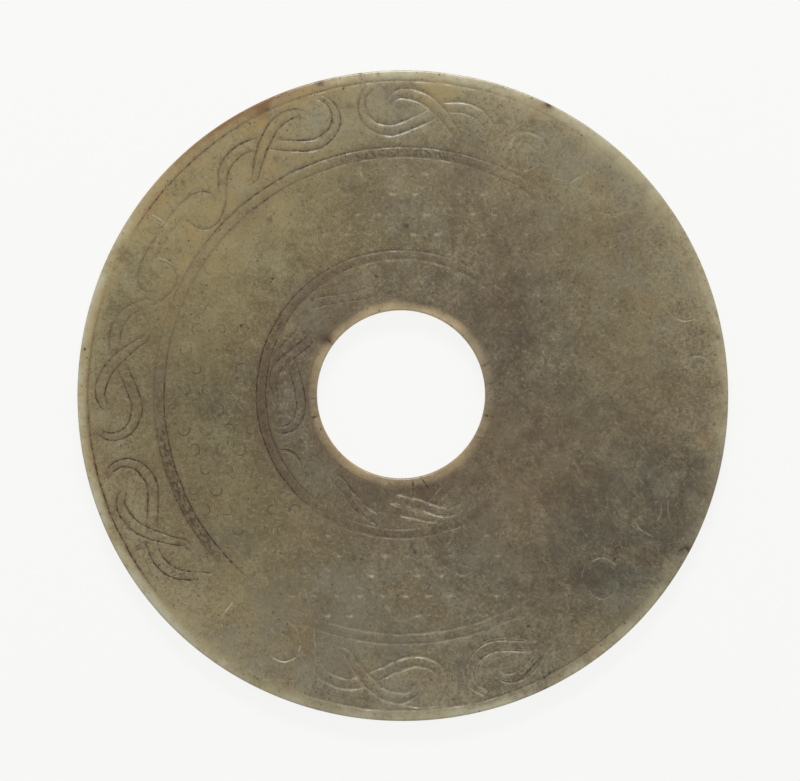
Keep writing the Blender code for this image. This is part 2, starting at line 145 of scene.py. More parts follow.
# Traces of worn lines: width and depth in millimetres, dirt, the strength of the painted highlight, and
# then x and y in turn of the pixels of the photograph that each one passes
WORN_TRACES = (
    (0.5, 0.07, 0, 0.55, 511, 143, 515, 136, 522, 133, 531, 134, 541, 138),
    (0.5, 0.06, 0, 0.5, 520, 170, 528, 170, 535, 166, 539, 160),
    (0.5, 0.05, 0.1, 0.3, 513, 147, 514, 156, 517, 164),
    (0.5, 0.05, 0, 0.5, 580, 176, 575, 180, 571, 183),
    (0.5, 0.04, 0, 0.3, 596, 211, 606, 214, 618, 213, 634, 210),
    (0.5, 0.07, 0, 0.4, 668, 312, 676, 318, 685, 321, 695, 319),
    (0.5, 0.05, 0, 0.3, 660, 323, 668, 330, 679, 333),
    (0.5, 0.06, 0, 0.35, 680, 362, 689, 357, 698, 356, 707, 359, 712, 366),
    (0.5, 0.05, 0, 0.3, 684, 368, 692, 363, 700, 363, 706, 367),
    (0.7, 0.12, 0, 0.6, 593, 561, 599, 558, 607, 559, 615, 565),
    (0.5, 0.06, 0, 0.35, 589, 590, 594, 596, 602, 599, 610, 597),
    (0.5, 0.06, 0, 0.3, 585, 565, 582, 575, 584, 586),
    (0.5, 0.07, 0, 0.4, 647, 505, 654, 501, 660, 503, 661, 512, 657, 521),
    (0.6, 0.1, 0, 0.6, 636, 523, 640, 529, 647, 533, 650, 535),
    (0.5, 0.06, 0, 0.3, 668, 501, 668, 512, 671, 524),
    (0.6, 0.09, 0, 0.5, 640, 583, 646, 586, 649, 584),
    (0.5, 0.06, 0, 0.3, 668, 560, 674, 566, 672, 574),
    (0.6, 0.06, 0, 0.35, 271, 629, 280, 622, 290, 623, 297, 630, 300, 641),
    (0.8, 0.22, 0, 0.9, 300, 646, 297, 655, 290, 660, 281, 661, 274, 658),
    (0.5, 0.05, 0, 0.4, 282, 634, 289, 639, 291, 647, 286, 652),
    (0.5, 0.05, 0, 0.4, 305, 590, 309, 606, 313, 624, 316, 648),
    (0.6, 0.05, 0.2, 0.3, 205, 600, 209, 593, 217, 590, 226, 592, 232, 598),
    (1.6, 0.1, 0.6, 0.2, 343, 479, 352, 490, 365, 502),
    (1.6, 0.1, 0.7, 0.2, 340, 487, 352, 505, 371, 523),
    (0.45, 0.04, 0, 0.9, 391, 504, 403, 508, 416, 511),
    (0.45, 0.04, 0, 0.7, 401, 516, 412, 519, 423, 521, 432, 522),
    (0.45, 0.04, 0, 0.5, 442, 533, 458, 528, 461, 526),
    (0.8, 0.1, 1, 0.2, 543, 655, 531, 668, 514, 685),
    (0.6, 0.1, 0, 1, 400, 705, 424, 708, 448, 705),
    (0.5, 0.1, 0.8, 0.5, 177, 569, 169, 575),
    (0.5, 0.1, 0.7, 0.5, 179, 572, 171, 578),
    (0.5, 0.1, 0.8, 0.5, 142, 543, 134, 548),
    (0.5, 0.1, 0.7, 0.5, 144, 546, 136, 551),
    (0.6, 0.12, 0, 1, 232, 603, 222, 615),
    (0.5, 0.1, 1, 0.3, 303, 470, 301, 463, 297, 456, 290, 451, 281, 450, 274, 452),
    (0.5, 0.1, 1, 0.3, 302, 437, 299, 441),
    (0.5, 0.06, 0, 0.8, 153, 215, 160, 219, 167, 225),
    (0.5, 0.06, 0, 0.8, 156, 259, 165, 260, 172, 266),
    (0.5, 0.1, 1.2, 0, 695, 546, 688, 548, 681, 550, 677, 555),
    (0.9, 0.05, 0.6, 0.3, 677, 555, 670, 563, 664, 575),
)

# In these tables degrees round the disc and per cents take turns.
# How broad the lines are, from narrow at 0 to broad at 1
LINE_SPREAD = (50, 40, 70, 100, 103, 100, 120, 30, 135, 10, 225, 10, 245, 60, 256, 100, 300, 100, 312, 40)

# What the wear has left of the relief
OUTER_BAND_LEFT = (60, 10, 64, 30, 68, 35, 74, 55, 80, 66, 104, 68, 118, 62, 135, 50, 160, 50, 170, 62,
    215, 66, 221, 50, 224, 10, 238, 12, 250, 14, 256, 34, 260, 68, 293, 68, 300, 28, 306, 10)
INNER_BAND_LEFT = (0, 5, 68, 10, 78, 25, 95, 28, 125, 35, 135, 60, 165, 70, 202, 70, 211, 45, 215, 12,
    226, 12, 230, 50, 285, 70, 294, 25, 305, 8)
FIELD_LEFT = (0, 10, 50, 20, 75, 40, 110, 20, 135, 8, 225, 10, 245, 35, 254, 60, 275, 60, 290, 45, 305, 20)
LEAST_LEFT_OF_A_LINE = 0.17

# Where brown dirt lies in the lines
DIRT_IN_OUTER_LINES = (0, 5, 62, 5, 72, 25, 95, 45, 108, 80, 128, 85, 140, 35, 165, 45, 175, 85, 190, 100,
    222, 100, 232, 30, 250, 5, 279, 10, 283, 35, 290, 50, 298, 35, 306, 10, 315, 0)
DIRT_IN_INNER_LINES = (0, 5, 65, 10, 80, 30, 100, 30, 135, 45, 143, 85, 200, 85, 222, 75, 245, 60, 258, 30,
    266, 5)

# Where a worn line catches the light: the strength of the painted highlight laid along it
LINE_HIGHLIGHT = (0, 0, 60, 5, 75, 25, 95, 25, 110, 10, 215, 5, 230, 10, 245, 25, 256, 100, 275, 100, 292, 80,
    302, 10)

# The six lines that run right round: centre, radius, what is left of it, and its dirt
RING_LINES = (
    (CENTRE, RIM_LINE_RADIUS,
     (0, 5, 60, 10, 74, 45, 105, 50, 118, 25, 130, 35, 144, 30, 150, 5, 163, 8, 172, 35, 213, 45, 220, 10,
      250, 12, 258, 70, 286, 70, 294, 45, 312, 35, 320, 8),
     (82, 5, 88, 30, 100, 35, 108, 70, 116, 20, 124, 70, 144, 80, 150, 0, 160, 0, 166, 45, 180, 55,
      190, 90, 213, 100, 221, 0, 278, 0, 287, 70, 311, 55, 322, 0)),
    (CENTRE, OUTER_STRIP_RADIUS,
     (0, 5, 55, 8, 66, 35, 80, 60, 98, 60, 125, 45, 145, 12, 165, 12, 180, 45, 216, 45, 223, 12, 252, 20,
      262, 50, 290, 50, 302, 25, 312, 8),
     (0, 0, 55, 10, 68, 45, 85, 65, 132, 75, 146, 35, 165, 30, 180, 55, 205, 85, 217, 80, 223, 5, 295, 5,
      305, 20, 318, 10)),
    (CENTRE, FIELD_OUTER_RADIUS,
     (0, 5, 55, 8, 66, 35, 78, 55, 96, 50, 106, 30, 125, 30, 145, 12, 165, 15, 178, 70, 222, 70, 232, 15,
      252, 25, 262, 55, 288, 55, 302, 25, 312, 8),
     (0, 0, 54, 0, 58, 50, 66, 50, 72, 25, 98, 30, 108, 50, 128, 70, 142, 35, 160, 25, 174, 65, 185, 110,
      222, 110, 230, 15)),
    (HOLE_CENTRE, FIELD_INNER_RADIUS,
     (0, 5, 35, 8, 50, 30, 80, 50, 110, 50, 135, 60, 150, 90, 215, 90, 228, 30, 240, 20, 262, 30, 275, 20,
      290, 5),
     (0, 0, 60, 0, 80, 30, 98, 80, 108, 35, 140, 80, 155, 110, 222, 110, 230, 20, 248, 30, 262, 10)),
    (HOLE_CENTRE, INNER_STRIP_RADIUS,
     (0, 5, 35, 8, 50, 35, 80, 50, 140, 50, 155, 70, 210, 70, 228, 30, 240, 20, 262, 30, 275, 20, 290, 5),
     (0, 0, 105, 0, 120, 35, 160, 85, 220, 80, 232, 10)),
    (HOLE_CENTRE, HOLE_LINE_RADIUS,
     (0, 5, 60, 8, 90, 12, 150, 14, 200, 10, 270, 8),
     (0, 5, 60, 10, 85, 30, 130, 15, 160, 30, 200, 40, 245, 40, 260, 10)),
)

# Strength of the stains, tints and grains round the disc, and of the painted glints on the grains
OUTER_STRIP_STAIN = (0, 0, 50, 10, 80, 90, 100, 90, 110, 55, 130, 50, 150, 25, 165, 40, 185, 80, 196, 130,
    216, 140, 223, 50, 229, 20, 262, 35, 285, 50, 318, 35, 330, 0)
INNER_STRIP_STAIN = (0, 60, 14, 10, 35, 0, 60, 40, 95, 50, 120, 90, 150, 120, 184, 140, 197, 180, 217, 110,
    232, 50, 255, 80, 290, 70, 330, 50)
BORE_PALENESS = (0, 20, 30, 70, 60, 115, 76, 170, 92, 110, 125, 110, 150, 90, 180, 50, 200, 65, 212, 95,
    226, 75, 243, 115, 256, 90, 268, 40, 290, 70, 310, 80)
BORE_WARMTH = (0, 60, 60, 0, 110, 10, 155, 30, 180, 90, 215, 100, 230, 80, 260, 70, 290, 90, 330, 80)
BORE_STAIN = (0, 50, 60, 30, 100, 40, 140, 70, 285, 100, 320, 70)
INNER_DUSK = (0, 100, 30, 90, 60, 60, 90, 35, 120, 60, 150, 100, 180, 100, 200, 80, 215, 40, 230, 20,
    245, 20, 262, 60, 280, 90, 300, 100)
RIM_GLOW = (0, 80, 30, 80, 60, 100, 78, 150, 95, 150, 120, 100, 150, 120, 165, 50, 190, 90, 205, 130,
    225, 190, 240, 140, 255, 40, 270, 130, 295, 70, 322, -30, 340, -30, 352, 30)
RIM_BAND = (0, 40, 20, 45, 50, 65, 80, 100, 100, 100, 107, 45, 130, 30, 136, 75, 145, 100, 190, 100,
    240, 135, 255, 40, 268, 135, 285, 210, 302, 150, 318, 80, 326, 60, 345, 40)
RIM_SHARPNESS = (0, 0, 60, 20, 82, 40, 104, 90, 140, 90, 150, 10, 165, 10, 175, 40, 200, 40, 215, 80,
    228, 20, 262, 50, 300, 70, 315, 40, 325, 0)
RUST_ON_RIM = (101, 0, 104, 15, 108, 40, 112, 85, 116, 100, 122, 90, 128, 75, 134, 50, 138, 20, 143, 25,
    150, 0)
WARMTH = (0, 30, 40, 30, 75, 20, 100, 50, 120, 90, 150, 100, 205, 90, 240, 50, 262, 10, 300, 0, 340, 0)
GRAIN_GLINT = (0, 10, 30, 15, 50, 35, 75, 75, 105, 60, 125, 30, 150, 0, 230, 15, 246, 60, 256, 95, 280, 90,
    312, 25)
GRAIN_ARC_DIRT = (0, 5, 60, 5, 110, 12, 150, 45, 170, 90, 222, 95, 240, 25, 260, 0, 330, 0)
GRAIN_PALENESS = (0, 30, 50, 40, 75, 50, 105, 35, 125, 10, 170, 0, 230, 10, 250, 40, 290, 40, 330, 20)

# Mesh spacing
MASK_REACH = 0.0025
RIM_POINTS = 720
HOLE_POINTS = 240
LINE_STEP = 0.00062
RING_STEP = 0.00095
FILL_STEP = 0.00125
LINE_OFFSETS = (0.0, 0.32, 0.68, 1.05)
GRAIN_RINGS = (0.45, 0.72, 0.88, 1.0, 1.10, 1.20, 1.32, 1.6)
GRAIN_RING_POINTS = 16
CURVE_SAMPLES = 24
MERGE_DISTANCE = 0.00003
WELD_DISTANCE = 0.000002
SMOOTH_ANGLE = 50.0
MILLIMETRE = 0.001
STROKE_RADIUS = 60.0

# The photograph: its frame, and the disc's place in it
PHOTO_WIDTH = 800
PHOTO_HEIGHT = 781
PHOTO_DISC_X = 402.85
PHOTO_DISC_Y = 395.65
METRES_PER_PIXEL = 0.00027576
CAMERA_HEIGHT = 1.6
FLOOR_GAP = 0.0001
FLOOR_SIZE = 3.0
SENSOR_WIDTH = 36.0


def by_angle(stops, points):
    """Share that the stops round the disc give at each point."""
    degrees = np.degrees(np.arctan2(points[..., 1], points[..., 0]))
    return np.interp(degrees, stops[::2], stops[1::2], period=360.0) / 100.0


def gap_from(centre, points):
    """Distance of each point from a centre."""
    return np.linalg.norm(points - centre, axis=1)


def polar(centre, radii, degrees):
    """Points at radii and angles about a centre."""
    turns = np.radians(degrees)
    return centre + np.stack((radii * np.cos(turns), radii * np.sin(turns)), axis=1)


def circle(centre, radius, sides, out_of_round=0.0):
    """Points of a closed circle, anticlockwise, with four low swellings if it is out of round."""
    degrees = np.arange(sides) * 360.0 / sides
    return polar(centre, radius - out_of_round * np.cos(np.radians(4.0 * degrees)), degrees)


def on_band(keys, centre, inner, outer, axis, side):
    """Points of the band between two radii, from (degrees, share) pairs; side -1 mirrors them."""
    degrees, shares = np.array(keys).T
    return polar(centre, inner + shares * (outer - inner), axis + side * degrees)


def smooth_curve(keys):
    """Close-set points on a smooth curve through the key points."""
    padded = np.vstack((2 * keys[0] - keys[1], keys, 2 * keys[-1] - keys[-2]))
    t = (np.arange(CURVE_SAMPLES) / CURVE_SAMPLES)[:, None]
    runs = [0.5 * (2 * start + (end - before) * t + (2 * before - 5 * start + 4 * end - after) * t * t
                   + (3 * start - before - 3 * end + after) * t ** 3)
            for before, start, end, after in zip(padded, padded[1:], padded[2:], padded[3:])]
    return np.vstack((*runs, keys[-1:]))


def evenly(points, step):
    """The same line with points an even step apart."""
    run = np.concatenate(((0.0,), np.cumsum(np.linalg.norm(np.diff(points, axis=0), axis=1))))
    count = max(2, int(round(run[-1] / step)) + 1)
    along = np.linspace(0.0, run[-1], count)
    return np.stack((np.interp(along, run, points[:, 0]), np.interp(along, run, points[:, 1])), axis=1)


def normals_along(points, closed):
    """Unit normals at the points of a line, to its left."""
    if closed:
        along = np.roll(points, -1, axis=0) - np.roll(points, 1, axis=0)
    else:
        along = np.gradient(points, axis=0)
    along = along / np.linalg.norm(along, axis=1, keepdims=True)
    return np.stack((-along[:, 1], along[:, 0]), axis=1)


def distance_to_line(points, line):
    """Distance from each point to a line, and the line's position of the nearest place."""
    starts = line[:-1]
    spans = line[1:] - starts
    lengths = np.maximum((spans ** 2).sum(axis=1), 1e-18)
    offsets = points[:, None, :] - starts[None, :, :]
    shares = np.clip((offsets * spans).sum(axis=2) / lengths, 0.0, 1.0)
    gaps = np.linalg.norm(offsets - shares[..., None] * spans, axis=2)
    nearest = gaps.argmin(axis=1)
    rows = np.arange(len(points))
    return gaps[rows, nearest], nearest + shares[rows, nearest]


class Groove:
    """An incised line: its middle, and at each point its width, its depth, the dirt in it and the strength
    of the painted highlight along it.
    """

    def __init__(self, middle, width, depth, dirt, light, hub=None):
        wobble = (soft_noise(middle, 0.009, 2.2) * HAND_WOBBLE
                  + soft_noise(middle, 0.003, 6.1) * HAND_SHAKE)
        self.middle = middle + normals_along(middle, hub is not None) * wobble[:, None]
        self.hub = hub
        ramp = np.ones(len(middle))
        if hub is None:
            count = min(END_RAMP_POINTS, len(middle) // 2)
            ramp[:count] = np.linspace(END_RAMP_START, 1.0, count, endpoint=False)
            ramp[-count:] = ramp[:count][::-1]
        self.width = width * ramp
        self.values = (self.width, depth * ramp, dirt * ramp, light * np.ones(len(middle)))

    def lines(self):
        """The lines that the mesh follows: the middle, and pairs beside it out to the edges."""
        across = normals_along(self.middle, self.hub is not None) * (self.width / 2)[:, None]
        found = []
        for share in LINE_OFFSETS:
            found.append(self.middle + share * across)
            if share:
                found.append(self.middle - share * across)
        return found

    def near(self, points, reach):
        """The points within reach, with their distances and the groove's values there."""
        low = self.middle.min(axis=0) - reach
        high = self.middle.max(axis=0) + reach
        inside = np.flatnonzero(((points > low) & (points < high)).all(axis=1))
        if self.hub is None:
            gap, place = distance_to_line(points[inside], self.middle)
        else:
            away = points[inside] - self.hub
            place = np.arctan2(away[:, 1], away[:, 0]) / (2.0 * math.pi) % 1.0 * len(self.middle)
            radii = np.linalg.norm(self.middle - self.hub, axis=1)
            radius = np.interp(place, np.arange(len(radii) + 1), np.append(radii, radii[0]))
            gap = np.abs(np.linalg.norm(away, axis=1) - radius)
        close = gap < reach
        steps = np.arange(len(self.middle) + 1)
        values = [np.interp(place[close], steps, np.append(value, value[-1 if self.hub is None else 0]))
                  for value in self.values]
        return inside[close], gap[close], values


def groove_along(middle, left, dirt, hub=None):
    """A groove with the width, the depth, the dirt and the painted highlight that each place on the disc
    has.
    """
    spread = by_angle(LINE_SPREAD, middle)
    width = NARROW_LINE + (BROAD_LINE - NARROW_LINE) * spread
    depth = (NARROW_DEPTH + (BROAD_DEPTH - NARROW_DEPTH) * spread) * by_angle(left, middle)
    # Painted highlight: strongest where the line runs across the main lamp's direction
    light = by_angle(LINE_HIGHLIGHT, middle) * np.minimum(by_angle(left, middle) * 4.0, 1.0)
    light *= normals_along(middle, hub is not None)[:, 1] ** 2 * (1.0 if hub is None else 0.55)
    return Groove(middle, width, depth, by_angle(dirt, middle), light, hub)


def ring_grooves():
    """The six lines that run right round the face."""
    return [groove_along(circle(hub, radius, int(2.0 * math.pi * radius / RING_STEP)), left, dirt, hub)
            for hub, radius, left, dirt in RING_LINES]


def unbroken_runs(points, kept):
    """The stretches of a line whose points are all kept."""
    cuts = np.flatnonzero(np.diff(kept.astype(int))) + 1
    runs = [run for run, keep in zip(np.split(points, cuts), np.split(kept, cuts)) if keep[0]]
    return [run for run in runs if len(run) > 3]


def line_grooves(points, left, dirt, over=None, ribbon_width=0.0):
    """Grooves along a line, left out where it is worn away or passes under a ribbon."""
    points = evenly(points, LINE_STEP)
    kept = by_angle(left, points) > LEAST_LEFT_OF_A_LINE
    if over is not None:
        kept &= distance_to_line(points, over)[0] > ribbon_width / 2
    return [groove_along(run, left, dirt) for run in unbroken_runs(points, kept)]


def ribbon_sides(middle, width, start_share, end_share):
    """The two edge lines of a ribbon, which narrows towards its ends."""
    place = np.linspace(0.0, 1.0, len(middle))
    share = np.minimum(start_share + RIBBON_TAPER * place, end_share + RIBBON_TAPER * (1.0 - place))
    across = normals_along(middle, False) * (width / 2 * np.minimum(share, 1.0))[:, None]
    return middle + across, middle - across


def band_grooves(band, wear, turns, patterns, width, over_ends, under_ends):
    """A band's ribbon, the ribbon that passes under it, and single lines, once for each turn."""
    grooves = []
    for turn, side in turns:
        over, under, *lines = [smooth_curve(on_band(keys, *band, turn, side)) for keys in patterns]
        for line in ribbon_sides(over, width, *over_ends):
            grooves += line_grooves(line, *wear)
        for line in ribbon_sides(under, width, *under_ends):
            grooves += line_grooves(line, *wear, over, width)
        for line in lines:
            grooves += line_grooves(line, *wear)
    return grooves


def outer_band_grooves():
    """The knots of the outer band and the masks between them."""
    return band_grooves(
        (CENTRE, OUTER_STRIP_RADIUS, RIM_LINE_RADIUS), (OUTER_BAND_LEFT, DIRT_IN_OUTER_LINES),
        [(axis, side) for axis in KNOT_AXES for side in (1.0, -1.0)],
        (CROSSING_RIBBON, LOOP_RIBBON, EYE_LINE, MASK_UPPER_LINE, MASK_LOWER_LINE, MASK_TICK),
        OUTER_RIBBON_WIDTH, (0.4, 0.5), (0.5, 0.7))


def inner_band_grooves():
    """The curls and sweeps of the inner band."""
    return band_grooves(
        (HOLE_CENTRE, HOLE_LINE_RADIUS, INNER_STRIP_RADIUS), (INNER_BAND_LEFT, DIRT_IN_INNER_LINES),
        [(turn, 1.0) for turn in CURL_TURNS],
        (SWEEP_RIBBON, CURL_RIBBON, FOLLOWING_LINE, SECOND_SWEEP_UPPER, SECOND_SWEEP_LOWER),
        INNER_RIBBON_WIDTH, (0.3, 1.0), (0.6, 1.0))


def crack_grooves():
    """The thin cracks at the hole and at the rim."""
    grooves = []
    for centre, cracks in ((HOLE_CENTRE, HOLE_CRACKS), (CENTRE, RIM_CRACKS)):
        for keys in cracks:
            degrees, radii = np.array(keys).T
            middle = evenly(smooth_curve(polar(centre, radii * MILLIMETRE, degrees)), LINE_STEP / 2)
            grooves.append(Groove(middle, CRACK_WIDTH, CRACK_DEPTH, 1.0, 0.0))
    return grooves


def worn_traces():
    """What is left of worn lines, as thin traces, brown with dirt or pale with a painted highlight."""
    traces = []
    for width, depth, dirt, light, *spots in WORN_TRACES:
        points = np.stack(seen(np.array(spots[::2]), np.array(spots[1::2])), axis=1)
        middle = evenly(smooth_curve(points), LINE_STEP)
        traces.append(Groove(middle, width * MILLIMETRE, depth * MILLIMETRE, dirt, light))
    return traces


def grain_centres():
    """Centres of the grains: staggered rows that fill the field between the two strips."""
    reach = slice(-GRAIN_ROWS_EACH_WAY, GRAIN_ROWS_EACH_WAY)
    rows, columns = np.mgrid[reach, reach]
    across = columns * GRAIN_PITCH + (GRAIN_PITCH / 2 * (rows % 2) + GRAIN_ROW_LEAN * rows)
    places = FIRST_GRAIN + np.stack((across, rows * GRAIN_ROW_SPACING), axis=2).reshape(-1, 2)
    margin = GRAIN_RADIUS + BROAD_LINE / 2
    inside = gap_from(CENTRE, places) < FIELD_OUTER_RADIUS - margin
    return places[inside & (gap_from(HOLE_CENTRE, places) > FIELD_INNER_RADIUS + margin)]


def smooth_step(low, high, value):
    share = np.clip((value - low) / (high - low), 0.0, 1.0)
    return share * share * (3.0 - 2.0 * share)


def in_field(points, softness):
    """1 between the two strips, falling to 0 at them."""
    return (smooth_step(0.0, softness, FIELD_OUTER_RADIUS - gap_from(CENTRE, points))
            * smooth_step(0.0, softness, gap_from(HOLE_CENTRE, points) - FIELD_INNER_RADIUS))


def soft_noise(points, pitch, seed):
    """Smooth noise between -1 and 1 over the face, with hollows about a pitch apart."""
    return np.array([noise.noise(Vector((x / pitch + seed, y / pitch - seed, seed)))
                     for x, y in points])


def by_lot(index, seed):
    """A number from 0 to 1 for each grain, the same each time."""
    value = np.sin(index * 12.9898 + seed * 78.233) * 43758.5453
    return value - np.floor(value)


def nearest_grain(points, grains):
    """For each point its nearest grain, the distance to that grain's middle, and the direction."""
    away = points[:, None, :] - grains[None, :, :]
    gap = np.linalg.norm(away, axis=2)
    nearest = gap.argmin(axis=1)
    rows = np.arange(len(points))
    return nearest, gap[rows, nearest], np.arctan2(away[rows, nearest, 1], away[rows, nearest, 0])


def groove_section(share):
    """Depth across a worn groove: a V with a soft bottom and soft shoulders."""
    return smooth_step(0.0, 0.35, 1.0 - np.abs(share)) * 0.15 + 0.85 * np.clip(1.0 - np.abs(share), 0, 1)


def seen(x, y):
    """The place on the disc of a pixel of the photograph."""
    return (x - PHOTO_DISC_X) * METRES_PER_PIXEL, (PHOTO_DISC_Y - y) * METRES_PER_PIXEL


# Patches of the stone: their strengths, and (x, y, radius) in the photograph's pixels
PATCHES = {
    "pale": {
        1.3: ((446, 92, 34),),
        1.1: ((146, 192, 34),),
        1: ((235, 170, 95),),
        0.7: ((604, 640, 30),),
        0.6: ((600, 192, 36), (240, 592, 40)),
        0.5: ((330, 105, 60), (294, 88, 30)),
        0.45: ((160, 260, 70),),
        0.4: ((545, 145, 70), (150, 620, 60), (92, 490, 26)),
        0.35: ((250, 640, 60),),
        0.3: ((250, 290, 60), (660, 260, 70), (420, 690, 60), (620, 330, 40)),
        0.15: ((170, 340, 50),),
    },
    "dark": {
        1.2: ((655, 530, 66),),
        0.9: ((605, 500, 60),),
        0.8: ((580, 570, 60), (540, 680, 34)),
        0.7: ((690, 480, 38), (700, 560, 40)),
        0.6: ((440, 480, 26),),
        0.55: ((460, 548, 34),),
        0.5: ((500, 580, 34), (650, 548, 24), (632, 540, 26)),
        0.45: ((515, 430, 55),),
        0.4: ((600, 560, 22),),
        0.35: ((520, 330, 60), (150, 392, 34), (300, 390, 30)),
        0.3: ((600, 420, 45), (205, 400, 40), (255, 400, 34), (205, 440, 34), (548, 396, 30)),
        0.25: ((350, 480, 55), (480, 250, 60)),
        0.2: ((470, 640, 60),),
    },
    "grey": {
        1: ((330, 620, 80), (260, 650, 60)),
        0.9: ((560, 170, 60),),
        0.8: ((640, 230, 60), (600, 140, 50), (200, 650, 40)),
        0.6: ((420, 120, 70), (250, 690, 40), (400, 690, 70), (320, 310, 30)),
        0.5: ((345, 120, 40), (670, 300, 50), (150, 285, 30)),
        0.4: ((600, 300, 50),),
        0.3: ((360, 350, 40), (470, 560, 60)),
    },
    "rust": {
        0.5: ((543, 106, 9), (264, 110, 8), (668, 218, 5)),
        0.4: ((152, 208, 7),),
        0.35: ((262, 116, 6),),
        0.3: ((650, 557, 5), (158, 196, 6), (661, 205, 4)),
    },
    "umber": {
        0.8: ((707, 478, 16),),
        0.7: ((500, 460, 62), (520, 530, 46), (688, 522, 16), (630, 622, 16)),
        0.6: ((565, 485, 60), (322, 400, 30)),
        0.5: ((520, 415, 46), (600, 440, 46), (330, 345, 34)),
        0.4: ((545, 590, 36), (570, 640, 34), (360, 300, 30), (450, 500, 30), (400, 520, 40)),
        0.3: ((690, 400, 40), (470, 300, 26)),
    },
    "mist": {
        0.9: ((241, 188, 10), (133, 262, 12), (312, 116, 15)),
        0.8: ((127, 285, 12),),
        0.7: ((352, 128, 12), (420, 118, 14)),
        0.6: ((300, 137, 8), (585, 205, 14), (628, 192, 11)),
        0.5: ((262, 256, 14), (278, 268, 12), (440, 142, 12), (570, 190, 10), (520, 150, 12),
              (645, 278, 14), (108, 410, 12), (298, 690, 14), (360, 650, 16), (350, 385, 10),
              (700, 500, 14)),
        0.4: ((100, 345, 8), (120, 452, 14), (330, 600, 16), (420, 690, 14), (665, 490, 12),
              (618, 600, 14), (420, 225, 16)),
        0.3: ((600, 120, 10), (440, 640, 12), (590, 375, 14)),
    },
    "mauve": {
        1.3: ((422, 491, 11),),
        1.2: ((428, 500, 8),),
        0.8: ((690, 553, 9),),
        0.5: ((400, 540, 26), (345, 492, 24), (365, 518, 22), (340, 290, 26), (325, 330, 24)),
        0.4: ((648, 556, 9), (520, 240, 40), (500, 290, 40), (466, 175, 26), (480, 330, 30)),
    },
    "honey": {
        0.9: ((265, 122, 7),),
        0.8: ((178, 172, 9), (160, 196, 9), (642, 632, 11), (662, 606, 10), (604, 662, 11)),
        0.7: ((250, 128, 8), (146, 213, 8), (86, 440, 5), (87, 460, 5), (560, 686, 11), (680, 578, 9)),
        0.6: ((184, 262, 8), (176, 290, 8), (196, 160, 9), (286, 103, 9)),
        0.5: ((258, 138, 7), (132, 222, 8), (335, 84, 12), (312, 92, 9), (192, 236, 8), (170, 320, 8),
              (300, 97, 9), (433, 95, 14), (90, 480, 5), (212, 214, 8), (232, 196, 8), (250, 180, 8),
              (270, 166, 8), (300, 158, 8)),
        0.4: ((262, 152, 6), (205, 655, 10), (150, 600, 9), (116, 560, 7), (706, 440, 8)),
        0.3: ((250, 690, 10), (640, 222, 10), (628, 208, 9)),
        0.2: ((500, 172, 14), (520, 180, 10)),
    },
    "soot": {
        1.2: ((549, 104, 4), (360, 73, 2), (688, 549, 3), (693, 237, 1.6), (717, 336, 1.6)),
        1: ((320, 82, 3), (682, 552, 2.5), (703, 320, 1.6), (407, 226, 2.2), (182, 182, 1.6)),
        0.9: ((266, 109, 3), (270, 220, 2), (277, 159, 1.5), (488, 345, 2), (327, 340, 5)),
        0.8: ((334, 78, 1.6), (378, 74, 1.5)),
        0.7: ((258, 112, 2.5),),
        0.5: ((350, 106, 3), (250, 117, 2), (420, 490, 4)),
    },
}
WORN_SPOTS = {
    1: ((300, 113, 13), (465, 141, 8)),
    0.8: ((286, 112, 8),),
    0.6: ((104, 470, 8), (172, 225, 7), (484, 122, 9)),
    0.5: ((113, 372, 10), (388, 95, 9)),
    0.3: ((500, 640, 8),),
}


def patches(points, table):
    """Soft round patches, each with uneven edges, added up."""
    total = np.zeros(len(points))
    ragged = soft_noise(points, 0.012, 11.0) * 0.35 + soft_noise(points, 0.004, 5.0) * 0.2
    for strength, spots in table.items():
        for x, y, radius in spots:
            gap = gap_from(seen(x, y), points) / (radius * METRES_PER_PIXEL)
            total += strength * np.exp(-np.clip(gap + ragged * 0.6, 0.0, None) ** 2)
    return np.clip(total, 0.0, 1.3)


